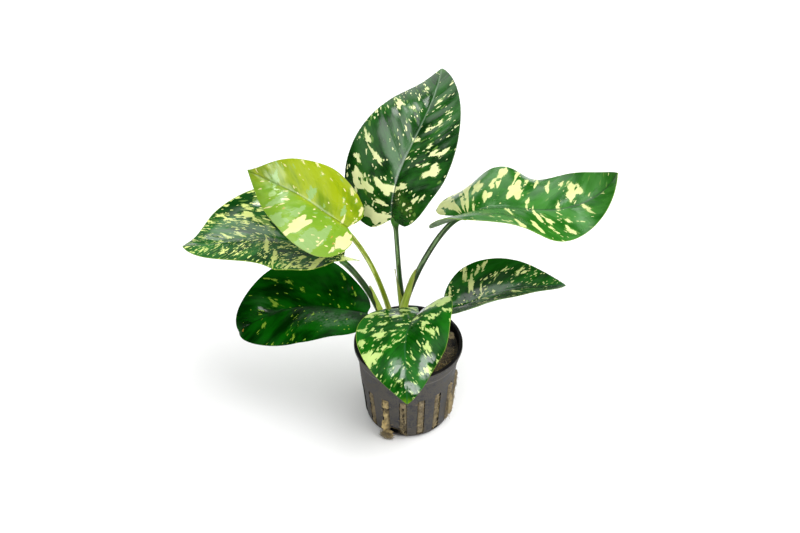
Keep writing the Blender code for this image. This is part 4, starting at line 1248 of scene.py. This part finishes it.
def wool_side(angles, z):
    """The wool's radius inside the wall and in its slots, and how deep its hollows are; that depth
    also sets their painted shade.
    """
    wall = wall_line(z)
    inside = np.minimum(wall - WALL - 0.25, np.interp(z, (1.6, 4.2, 5.0), (17.9, 20.5, 30.0)))
    z = z - slot_lean(angles, z)
    radius = inside.copy()
    deep = np.zeros_like(radius)
    place = np.stack([wall * np.sin(np.radians(angles)), -wall * np.cos(np.radians(angles)), z], -1)
    rough = lumps(place, 2.6, 5.1).reshape(z.shape)
    fine = lumps(place, 0.9, 9.7).reshape(z.shape)
    for index, bulge in enumerate(SLOT_BULGES):
        centre = FIRST_SLOT + index * 360.0 / SLOT_COUNT
        off = (angles - centre + 180) % 360 - 180
        across = np.radians(off) * wall
        open_here = smooth(SLOT_HALF - 0.12, SLOT_HALF - 0.55, np.abs(across))
        open_here = open_here * smooth(SLOT_Z[0] + 0.15, SLOT_Z[0] + 0.8, z)
        open_here = open_here * smooth(SLOT_Z[1] - 0.15, SLOT_Z[1] - 0.8, z)
        swell = bulge + (0.55 + 0.5 * max(bulge, 0.0)) * rough + 0.22 * fine - 0.1
        out = inside + open_here * (WALL + 0.25 + swell)
        radius = np.where(open_here > 0, np.maximum(out, inside - 1.2 * open_here), radius)
        deep += hollows(index, across, z) * open_here
    radius -= 2.6 * np.clip(deep, 0, 1)
    # The wool behind the broken gap sinks in and is darkened with painted shade.
    behind = ((angles > -28.0) & (angles < -4.0)) * smooth(1.9, 2.6, z) * smooth(8.2, 7.3, z)
    radius = np.where(behind > 0, np.minimum(radius, inside - 2.5 * behind), radius)
    deep = np.maximum(deep, behind)
    return radius + 0.12 * np.minimum(fine, 0), np.clip(deep, 0, 1)


def hollows(index, across, z):
    """Gaps and cracks in the wool of the front slots: they sink the wool in and are darkened
    with painted shade.
    """
    def pit(x0, z0, half_width, half_height):
        return smooth(1.25, 0.75, np.hypot((across - x0) / half_width, (z - z0) / half_height))
    if index == 15:
        gap = smooth(1.9, 1.3, np.abs(z - 19.6 + 0.2 * across))
        return np.maximum(gap, pit(1.6, 12.0, 0.8, 6.0) * 0.7)
    if index == 0:
        wavy = 0.25 * np.sin(1.1 * z)
        crack = smooth(0.7, 0.3, np.abs(across - wavy)) * smooth(8.0, 10.0, z)
        return np.maximum(crack * smooth(24.0, 21.0, z), pit(-0.4, 6.0, 1.5, 3.0))
    # A near-black strip along the right side of slots 1 to 3: painted shade for the slots' shaded
    # side faces.
    if index in (1, 2, 3):
        width = (0.45, 1.0, 0.35)[index - 1]
        return smooth(1.75 - width, 2.0 - width, across) * smooth(27.0, 25.5, z) * smooth(3, 5, z)
    if index == 14:
        return np.maximum(pit(0.9, 5.2, 1.0, 1.6), pit(-0.3, 9.5, 0.7, 1.5) * 0.6)
    # The upper parts of slots 13 and 12 sink in and turn near black: painted shade in open slots.
    if index == 13:
        return smooth(8.0, 12.0, z) * np.ones_like(across)
    if index == 12:
        return smooth(5.0, 8.0, z) * np.ones_like(across)
    return np.zeros_like(across)


def make_wool(settings):
    """The plug of rock wool: it fills the slots and has a crumbly top and loose lumps."""
    angles = np.linspace(-180, 180, WOOL_COLUMNS, endpoint=False)
    top_radii = np.linspace(0.4, 24.2, 48)
    side_heights = np.concatenate([[43.9, 43.0], np.linspace(41.5, 31.0, 10),
                                   np.linspace(30.4, 1.7, 68)])
    grid, deep, top = [], [], []
    gap = np.exp(-((angles - TOP_GAP_ANGLE) / 6.0) ** 2)
    for radius in top_radii:
        place = np.stack([radius * np.sin(np.radians(angles)), -radius * np.cos(np.radians(angles)),
                          0 * angles], -1)
        crumble = 1.0 * lumps(place, 4.4, 2.2) + 0.7 * lumps(place, 1.5, 4.4)
        sunk = gap * smooth(21.0, 23.0, radius)
        place[:, 2] = WOOL_TOP + 0.5 - 1.0 * (radius / 24.2) ** 4 + crumble - 2.5 * sunk
        grid.append(place)
        # Low spots of the crumbly top and the sunk gap get painted shade.
        deep.append(np.clip(np.maximum(-crumble * 0.9, sunk), 0, 0.95))
        top.append(np.ones_like(angles))
    for z in side_heights:
        heights = np.full_like(angles, z)
        radius, hollow = wool_side(angles, heights)
        grid.append(np.stack([radius * np.sin(np.radians(angles)),
                              -radius * np.cos(np.radians(angles)), heights], -1))
        deep.append(hollow)
        top.append(np.full_like(angles, smooth(40.0, 43.0, z)))
    for radius in (15.5, 8.0, 1.0):
        grid.append(np.stack([radius * np.sin(np.radians(angles)),
                              -radius * np.cos(np.radians(angles)), 0 * angles + 1.6], -1))
        deep.append(0 * angles)
        top.append(0 * angles)
    dry = [0.8 * smooth(10.0, 6.0, np.abs(angles - DRY_SLOT_ANGLE))] * len(grid)
    count = len(grid)
    faces = grid_faces(count, WOOL_COLUMNS, wrap=True)
    faces.append(tuple(range(WOOL_COLUMNS - 1, -1, -1)))
    faces.append(tuple((count - 1) * WOOL_COLUMNS + column for column in range(WOOL_COLUMNS)))
    points = np.vstack(grid)
    for seed, tuft in enumerate(TUFTS):
        tuft_points, tuft_faces = make_tuft(tuft, seed, len(points))
        points = np.vstack([points, tuft_points])
        faces += tuft_faces
        deep.append(np.zeros(len(tuft_points)))
        top.append(np.zeros(len(tuft_points)))
        dry.append(np.full(len(tuft_points), 1.0 if seed < 2 else 0.25))
    wool = mesh_object("rock_wool_plug", points, faces, [wool_material(settings)],
                       {"deep": np.concatenate(deep), "top": np.concatenate(top),
                        "dry": np.concatenate(dry)})
    tidy_mesh(wool, sharp=80.0)
    return keep_piece(wool, "rock_wool", "rock_wool")


def make_tuft(tuft, seed, start):
    """A loose lump of wool that stands out of the pot's side."""
    angle, distance, height, half_width, half_depth, half_height = tuft
    rows, columns = 40, 64
    up = np.linspace(0.02, math.pi - 0.02, rows)
    round_ = np.linspace(0, 2 * math.pi, columns, endpoint=False)
    up, round_ = np.meshgrid(up, round_, indexing="ij")
    unit = np.stack([np.sin(up) * np.cos(round_), np.sin(up) * np.sin(round_), np.cos(up)], -1)
    flat = unit.reshape(-1, 3)
    swell = 1 + 0.50 * lumps(flat, 0.7, 3.3 + seed) + 0.20 * lumps(flat, 0.22, 8.1 + seed)
    local = flat * swell[:, None] * (half_width, half_depth, half_height)
    turn = math.radians(angle)
    centre = np.array([distance * math.sin(turn), -distance * math.cos(turn), height])
    across = np.array([math.cos(turn), math.sin(turn), 0.0])
    out = np.array([math.sin(turn), -math.cos(turn), 0.0])
    points = (centre + local[:, :1] * across + local[:, 1:2] * out
              + local[:, 2:] * np.array([0, 0, 1.0]))
    points[:, 2] = np.maximum(points[:, 2], 0.25)
    faces = grid_faces(rows, columns, start, wrap=True)
    faces.append(tuple(start + column for column in range(columns - 1, -1, -1)))
    faces.append(tuple(start + (rows - 1) * columns + column for column in range(columns)))
    return points, faces


def make_fibres(settings):
    """Loose fibres that stand out of the slots, the tuft and the wool's top."""
    chance = random.Random(11)
    points, faces = [], []
    sides, rings = 3, 6
    radius = settings.fibre_radius / MM
    slots = [FIRST_SLOT + index * 360.0 / SLOT_COUNT for index in range(SLOT_COUNT)]
    for index in range(settings.fibres):
        kind = index % 10
        if kind < 7:
            slot = chance.randrange(SLOT_COUNT)
            z = chance.uniform(SLOT_Z[0] + 1, SLOT_Z[1] - 1)
            wall = float(wall_line(z))
            angle = math.radians(slots[slot]) + chance.uniform(-1.5, 1.5) / wall
            reach = wall + min(SLOT_BULGES[slot], 1.0) - 0.15
            start = np.array([reach * math.sin(angle), -reach * math.cos(angle), z])
            out = np.array([math.sin(angle), -math.cos(angle), 0.0])
            lean = 0.25
        elif kind < 8:
            angle = math.radians(TUFTS[0][0]) + chance.uniform(-3.0, 3.0) / TUFTS[0][1]
            reach = TUFTS[0][1] + chance.uniform(0.5, 2.0)
            start = np.array([reach * math.sin(angle), -reach * math.cos(angle),
                              chance.uniform(0.8, 4.4)])
            out = np.array([math.sin(angle), -math.cos(angle), 0.1])
            lean = 0.4
        else:
            angle, reach = chance.uniform(0, 2 * math.pi), 24.0 * math.sqrt(chance.random())
            start = np.array([reach * math.sin(angle), -reach * math.cos(angle), WOOL_TOP + 0.2])
            out = np.array([0.0, 0.0, 1.0])
            lean = 0.35
        sideways = np.array([chance.gauss(0, 1) for _ in range(3)])
        sideways -= out * np.dot(sideways, out)
        sideways /= np.linalg.norm(sideways)
        length = chance.uniform(1.0, 3.2)
        bend = np.array([chance.gauss(0, 0.25) for _ in range(3)])
        steps = np.linspace(0, 1, rings)[:, None]
        rise = lean * np.sin(np.pi * steps) * length * 0.5
        path = start + sideways * length * (steps - 0.5) + out * rise + bend * steps ** 2 * length
        path[:, 2] = np.maximum(path[:, 2], 0.2)
        thin = radius * chance.uniform(0.7, 1.5)
        ring_points, ring_faces, _, _ = tube_mesh(path, np.full(rings, thin), sides)
        offset = index * rings * sides
        points.append(ring_points)
        faces += [tuple(corner + offset for corner in face) for face in ring_faces]
    fibres = mesh_object("rock_wool_fibres", np.vstack(points), faces, [fibre_material(settings)])
    fibres.data.shade_smooth()
    return keep_piece(fibres, "rock_wool", "rock_wool")


# Rhizome, stalks, sheaths and blades

def make_rhizome(settings):
    """The knobbly rhizome with rings of old leaf scars."""
    rows, columns = 72, 120
    up = np.linspace(0.02, math.pi - 0.02, rows)
    round_ = np.linspace(0, 2 * math.pi, columns, endpoint=False)
    up, round_ = np.meshgrid(up, round_, indexing="ij")
    unit = np.stack([np.sin(up) * np.cos(round_), np.sin(up) * np.sin(round_), np.cos(up)], -1)
    x, y, z = (unit[..., axis].ravel() for axis in range(3))
    rings = np.sin(9 * x + 2) * np.cos(5 * y) + np.sin(7 * z + 4 * y)
    swell = 1 + RHIZOME_KNOBS * rings
    flat = unit.reshape(-1, 3)
    scars = np.exp(-(np.abs(np.sin(6.5 * x + 1.0 + 0.6 * z)) / 0.12) ** 2)
    swell += 0.025 * lumps(flat, 0.3, 1.7) + 0.02 * lumps(flat, 0.12, 6.2) - 0.03 * scars
    points = flat * swell[:, None] * RHIZOME_RADII + RHIZOME_CENTRE
    faces = grid_faces(rows, columns, wrap=True)
    faces.append(tuple(range(columns - 1, -1, -1)))
    faces.append(tuple((rows - 1) * columns + column for column in range(columns)))
    rhizome = mesh_object("rhizome_body", points, faces, [rhizome_material(settings)],
                          {"scar": scars * 0.7})
    tidy_mesh(rhizome, sharp=80.0)
    return keep_piece(rhizome, "rhizome", "rhizome")


def make_stalk(stalk, material):
    """A stalk with fine ridges, a rounded top and a thicker knee under its blade."""
    u = np.linspace(0, 1, STALK_RINGS)
    path = cubic(stalk.handles, u)
    radii = stalk_radius(stalk, u)
    radii = radii * np.where(u > 0.985, np.sqrt(np.clip(1 - ((u - 0.985) / 0.017) ** 2, 0.05, 1)), 1)
    points, faces, along, turn = tube_mesh(path, radii, STALK_SIDES)
    centre = np.repeat(path, STALK_SIDES, axis=0)
    ridge = 1 + 0.035 * np.cos(5 * turn + along * 0.05) + 0.02 * lumps(points, 2.5, 1.0)
    points = centre + (points - centre) * ridge[:, None]
    around = turn * np.repeat(radii, STALK_SIDES)
    values = {"along": np.stack([along, np.minimum(around, 2 * math.pi * radii.max() - around),
                                 along / along.max()], -1)}
    obj = mesh_object(stalk.name + "_skin", points, faces, [material], values)
    tidy_mesh(obj, sharp=70.0)
    return keep_piece(obj, stalk.slot, stalk.name)


def make_sheath(sheath, stalk, material):
    """A thin pointed channel round the foot of its stalk, with a wavy edge."""
    share, across = np.meshgrid(np.linspace(0, 1, 56), np.linspace(-1, 1, 30), indexing="ij")
    u = SHEATH_FOOT + share * (sheath.reach - SHEATH_FOOT)
    centre = cubic(stalk.handles, u)
    ahead = cubic(stalk.handles, u + 0.01) - cubic(stalk.handles, u - 0.01)
    ahead /= np.linalg.norm(ahead, axis=-1)[..., None]
    facing = np.array(sheath.facing, float)
    front = facing - ahead * (ahead @ facing)[..., None]
    front /= np.linalg.norm(front, axis=-1)[..., None]
    side = np.cross(ahead, front)
    wave = 1 + 0.05 * np.sin(9 * share * math.pi + 2 * across)
    angle = math.radians(SHEATH_WRAP) * (1 - share) ** SHEATH_TAPER * across * wave
    radius = stalk_radius(stalk, u) + SHEATH_CLEARANCE + 0.10 * np.sin(7 * share + 3 * across)
    radius = radius + 0.55 * np.abs(across) ** 3 * share
    out = front * np.cos(angle)[..., None] + side * np.sin(angle)[..., None]
    thick = SHEATH_THICKNESS * (1 - 0.6 * np.abs(across) ** 2)
    inner = centre + out * radius[..., None]
    outer = centre + out * (radius + thick)[..., None]
    points, faces, _ = sheet_mesh(outer, inner)
    length = share * sheath.reach * 60
    spot = np.stack([length, angle * radius, 0 * length], -1).reshape(-1, 3)
    edge = np.maximum(np.abs(across), share ** 2).ravel()
    obj = mesh_object(sheath.name + "_skin", points, faces, [material],
                      {"along": np.vstack([spot, spot]), "edge": np.concatenate([edge, edge])})
    tidy_mesh(obj)
    return keep_piece(obj, "sheath", sheath.name)


def wet_field(leaf, t, v):
    """How wet the skin is, from 0 to 1."""
    field = np.zeros_like(t)
    for along, across, half_length, half_width, amount in leaf.wet:
        reach = np.hypot((t - along) / half_length, (v - across) / half_width)
        field = np.maximum(field, amount * smooth(1.25, 0.75, reach))
    return field


def dent_height(leaf, t, v, spread):
    """Height in mm of the small blisters in a blade; their radius is in mm too."""
    height = np.zeros_like(t)
    for along, across, radius, rise in leaf.dents:
        away = np.hypot((t - along) * leaf.length, (v - across) * spread)
        height += rise * np.exp(-(away / radius) ** 2)
    return height


def mark_field(marks, leaf, t, v, spread):
    """How many mm a point lies inside the nearest mark; spread is the blade's half width there."""
    field = np.full(t.shape, -9.0)
    for index, (along, across, half_length, half_width) in enumerate(marks):
        reach = np.hypot((t - along) / half_length, (v - across) / half_width)
        turn = np.arctan2((t - along) / half_length, (v - across) / half_width)
        reach = reach / (1 + 0.22 * np.cos(3 * turn + 1.7 * index)
                         + 0.18 * np.cos(5 * turn + 2.9 * index))
        away = np.hypot((t - along) * leaf.length, (v - across) * spread)
        radius = np.where(reach > 0.02, away / np.maximum(reach, 0.02), half_length * leaf.length)
        field = np.maximum(field, radius * (1 - reach))
    return field


def blade_relief(leaf, settings, t, v, seed):
    """Heights in mm of the upper side, of the underside and of the rib below it, and half the
    thickness."""
    x, y = blade_outline(leaf, t, v)
    width = np.where(v >= 0, leaf.width_left, leaf.width_right) * y
    start = vein_start(leaf, x, width / leaf.length)
    phase = (settings.vein_pairs * np.clip(start + 0.06, 0, 1) + np.where(v >= 0, 0.0, 0.45)
             + 0.12 * np.sin(9 * start + 2.3 * seed))
    off = phase - np.round(phase)
    out = np.abs(v)
    fade = smooth(0.02, 0.22, out) * smooth(1.0, 0.72, out) * smooth(0.0, 0.08, t)
    fade = fade * smooth(1.0, 0.86, t)
    relief = FINISHES[leaf.finish].relief
    swell = settings.swell / MM * relief * (0.5 - 0.5 * np.cos(2 * np.pi * off)) * fade
    line = -0.09 * relief * np.exp(-(off / 0.06) ** 2)
    line = line * smooth(0.0, 0.1, out) * smooth(1.0, 0.85, out)
    groove = -settings.groove / MM * np.exp(-(width / (0.95 - 0.45 * t)) ** 2) * (1 - 0.6 * t)
    groove = groove * min(1.0, 2 * relief)
    ridge = (0.95 - 0.75 * t) * np.exp(-(width / (1.3 - 0.7 * t)) ** 2)
    half = settings.thickness / MM / 2 * (1 - 0.55 * out ** 1.5)
    return swell + line + groove, swell * 0.8 + line, ridge, half


def make_blade(leaf, settings, top_material, under_material, seed):
    """A blade with a grooved midrib, swollen skin between its side veins and a ribbed back."""
    share = np.linspace(0, 1, BLADE_ROWS + 1)
    t = 0.4 * share + 0.6 * share * share * (3 - 2 * share)
    across = np.linspace(-1, 1, BLADE_COLUMNS + 1)
    v = across * (0.62 + 0.38 * np.abs(across))
    t, v = np.meshgrid(t, v, indexing="ij")
    places = blade_points(leaf, t.ravel(), v.ravel()).reshape(t.shape + (3,))
    normals = np.cross(np.gradient(places, axis=0), np.gradient(places, axis=1))
    size = np.linalg.norm(normals, axis=-1)[..., None]
    normals = normals / np.maximum(size, 1e-12)
    normals[-1] = normals[-3]
    normals[-2] = normals[-3]
    raised, below, ridge, half = blade_relief(leaf, settings, t, v, seed)
    small = 0.07 * lumps(places, 4.2, seed + 3.1)
    width = np.where(v >= 0, leaf.width_left, leaf.width_right)
    spread = blade_outline(leaf, t, np.ones_like(v))[1] * width
    broad = (0.22 * lumps(places, 11.0, seed) + small).reshape(t.shape)
    broad = broad + dent_height(leaf, t, v, spread)
    top = places + normals * (half + raised + broad)[..., None]
    under = places + normals * (below + broad - half - ridge)[..., None]
    points, faces, sides = sheet_mesh(top, under)
    x, y = blade_outline(leaf, t, v)
    out = np.abs(v)
    start = vein_start(leaf, x, y * width / leaf.length)
    vein = np.stack([leaf.length * start * 0.8 + 211.0 * seed, np.sign(v) * y * width * 1.25, t],
                    -1).reshape(-1, 3)
    values = {key: mark_field(marks, leaf, t, v, spread).ravel()
              for key, marks in (("cream", leaf.cream), ("pale", leaf.pale), ("scar", leaf.scar))}
    values |= {"vein": vein, "edge": out.ravel(), "wet": wet_field(leaf, t, v).ravel()}
    values = {key: np.concatenate([value, value]) for key, value in values.items()}
    obj = mesh_object(leaf.name + "_blade", points, faces, [top_material, under_material],
                      values, sides)
    tidy_mesh(obj, sharp=60.0)
    return keep_piece(obj, leaf.slot, leaf.name)


# Stage

def aim(obj, azimuth, elevation, distance, target=(0.0, 0.01, 0.07)):
    """Place a light round the plant and turn it to face the plant. Azimuth 0 is at the back."""
    a, e = math.radians(azimuth), math.radians(elevation)
    away = Vector((math.sin(a) * math.cos(e), math.cos(a) * math.cos(e), math.sin(e)))
    obj.location = Vector(target) + away * distance
    obj.rotation_mode = "QUATERNION"
    obj.rotation_quaternion = away.to_track_quat("Z", "Y")


def softbox(name, size, power, azimuth, elevation, distance):
    """A rectangular soft light."""
    light = bpy.data.lights.new(name, "AREA")
    light.shape = "RECTANGLE"
    light.size, light.size_y = size
    light.energy = power
    obj = bpy.data.objects.new(name, light)
    bpy.context.scene.collection.objects.link(obj)
    aim(obj, azimuth, elevation, distance)
    return obj


def make_stage(settings):
    """A plain pale floor, soft studio lights and the camera at the front."""
    scene = bpy.context.scene
    steps = np.linspace(-2500, 2500, 41)
    x, y = np.meshgrid(steps, steps, indexing="ij")
    points = np.stack([x, y, 0 * x], -1).reshape(-1, 3)
    floor = mesh_object("studio_floor", points, grid_faces(41, 41), [floor_material(settings)])
    ceiling = softbox("ceiling_light", (1.6, 1.6), settings.ceiling, 98, 62, 1.7)
    ceiling.visible_glossy = False
    for name, size, power, place in (
            ("top_softbox", (0.6, 0.6), 6.0, (-140, 68, 1.1)),
            ("overhead_light", (0.32, 0.20), 2.6, (-8, 80, 1.0)),
            ("left_softbox", (0.7, 0.4), 1.0, (-98, 38, 1.2)),
            ("back_softbox", (1.3, 1.1), 10.0, (-12, 38, 1.2)),
            ("front_softbox", (1.3, 1.1), 44.0, (165, 33, 1.3))):
        box = softbox(name, size, power * settings.sheen, *place)
        box.visible_diffuse = False
    world = bpy.data.worlds.new("studio_air")
    scene.world = world
    world.use_nodes = True
    w = Wiring(world.node_tree)
    background = world.node_tree.nodes["Background"]
    rays = w.add("ShaderNodeLightPath").outputs
    air = w.mix(rays["Is Glossy Ray"], (0.97, 0.97, 0.97), (0.03, 0.03, 0.03))
    w.join(w.mix(rays["Is Camera Ray"], air, (1.0, 1.0, 1.0)), background.inputs["Color"])
    camera = bpy.data.objects.new("front_camera", bpy.data.cameras.new("front_camera"))
    scene.collection.objects.link(camera)
    camera.location = (-0.00419, -0.58677, 0.59309)
    camera.rotation_euler = (math.radians(49.8), 0.0, 0.0)
    camera.data.lens = settings.lens
    camera.data.clip_start = 0.01
    scene.camera = camera
    scene.view_settings.view_transform = "Standard"


# Operators

def require(node):
    """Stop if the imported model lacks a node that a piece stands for."""
    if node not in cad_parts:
        raise RuntimeError(f"the packed model has no node named {node}")


class ANUBIAS_OT_pot(bpy.types.Operator):
    """Build the slotted net pot"""
    bl_idname = "anubias.pot"
    bl_label = "Net Pot"

    def execute(self, context):
        require("pot")
        make_pot(context.scene.anubias_pot)
        return {"FINISHED"}


class ANUBIAS_OT_wool(bpy.types.Operator):
    """Build the rock wool plug with its loose lumps"""
    bl_idname = "anubias.wool"
    bl_label = "Rock Wool"

    def execute(self, context):
        require("rock_wool")
        make_wool(context.scene.anubias_wool)
        return {"FINISHED"}


class ANUBIAS_OT_fibres(bpy.types.Operator):
    """Build the loose fibres of the rock wool"""
    bl_idname = "anubias.fibres"
    bl_label = "Wool Fibres"

    def execute(self, context):
        require("rock_wool")
        make_fibres(context.scene.anubias_wool)
        return {"FINISHED"}


class ANUBIAS_OT_rhizome(bpy.types.Operator):
    """Build the rhizome"""
    bl_idname = "anubias.rhizome"
    bl_label = "Rhizome"

    def execute(self, context):
        require("rhizome")
        make_rhizome(context.scene.anubias_stalks)
        return {"FINISHED"}


class ANUBIAS_OT_blades(bpy.types.Operator):
    """Build the seven blades"""
    bl_idname = "anubias.blades"
    bl_label = "Blades"

    def execute(self, context):
        settings = context.scene.anubias_leaves
        green = underside_material("blade_underside", tuple(settings.underside))
        young = underside_material("young_blade_underside", tuple(settings.young_underside), 0.5)
        for seed, leaf in enumerate(LEAVES, 1):
            require(leaf.name)
            top = leaf_material(leaf.name + "_skin", FINISHES[leaf.finish])
            under = young if leaf.finish == "young" else green
            make_blade(leaf, settings, top, under, seed)
        return {"FINISHED"}


class ANUBIAS_OT_stalks(bpy.types.Operator):
    """Build the seven leaf stalks"""
    bl_idname = "anubias.stalks"
    bl_label = "Stalks"

    def execute(self, context):
        settings = context.scene.anubias_stalks
        green = stalk_material("green_stalk_skin", tuple(settings.green), tone(92, 134, 44))
        young = stalk_material("young_stalk_skin", tuple(settings.young), tone(190, 206, 96))
        for stalk in STALKS:
            require(stalk.name)
            make_stalk(stalk, young if stalk.slot == "young_stalk" else green)
        return {"FINISHED"}


class ANUBIAS_OT_sheaths(bpy.types.Operator):
    """Build the three sheaths round the stalks' feet"""
    bl_idname = "anubias.sheaths"
    bl_label = "Sheaths"

    def execute(self, context):
        material = sheath_material(context.scene.anubias_stalks)
        stalks = {stalk.name: stalk for stalk in STALKS}
        for sheath in SHEATHS:
            require(sheath.name)
            make_sheath(sheath, stalks[sheath.stalk], material)
        return {"FINISHED"}


class ANUBIAS_OT_stage(bpy.types.Operator):
    """Build the floor, the lights and the camera"""
    bl_idname = "anubias.stage"
    bl_label = "Stage"

    def execute(self, context):
        make_stage(context.scene.anubias_studio)
        return {"FINISHED"}


class ANUBIAS_PT_panel(bpy.types.Panel):
    """Lists the pieces of the plant and their settings"""
    bl_idname = "ANUBIAS_PT_panel"
    bl_label = "Variegated Anubias"
    bl_space_type = "VIEW_3D"
    bl_region_type = "UI"
    bl_category = "Anubias"

    def draw(self, context):
        scene = context.scene
        for title, settings in (("Pot", scene.anubias_pot), ("Rock wool", scene.anubias_wool),
                                ("Blades", scene.anubias_leaves),
                                ("Stalks", scene.anubias_stalks),
                                ("Studio", scene.anubias_studio)):
            box = self.layout.box()
            box.label(text=title)
            for name in settings.__annotations__:
                box.prop(settings, name)
        column = self.layout.column()
        for operator in OPERATORS:
            column.operator(operator.bl_idname)


OPERATORS = (ANUBIAS_OT_stage, ANUBIAS_OT_pot, ANUBIAS_OT_wool, ANUBIAS_OT_fibres,
             ANUBIAS_OT_rhizome, ANUBIAS_OT_stalks, ANUBIAS_OT_sheaths, ANUBIAS_OT_blades)
SETTINGS = {"anubias_pot": AnubiasPotSettings, "anubias_wool": AnubiasWoolSettings,
            "anubias_leaves": AnubiasLeafSettings, "anubias_stalks": AnubiasStalkSettings,
            "anubias_studio": AnubiasStudioSettings}


def register():
    """Register the settings, the operators and the panel."""
    for name, group in SETTINGS.items():
        bpy.utils.register_class(group)
        setattr(bpy.types.Scene, name, PointerProperty(type=group))
    for operator in OPERATORS:
        bpy.utils.register_class(operator)
    bpy.utils.register_class(ANUBIAS_PT_panel)


def unregister():
    """Take back what register added."""
    bpy.utils.unregister_class(ANUBIAS_PT_panel)
    for operator in reversed(OPERATORS):
        bpy.utils.unregister_class(operator)
    for name, group in SETTINGS.items():
        delattr(bpy.types.Scene, name)
        bpy.utils.unregister_class(group)


def main():
    """Build the whole plant and its stage."""
    register()
    bpy.ops.anubias.stage()
    bpy.ops.anubias.pot()
    bpy.ops.anubias.wool()
    bpy.ops.anubias.fibres()
    bpy.ops.anubias.rhizome()
    bpy.ops.anubias.stalks()
    bpy.ops.anubias.sheaths()
    bpy.ops.anubias.blades()
    bpy.context.view_layer.update()


if __name__ == "__main__":
    main()
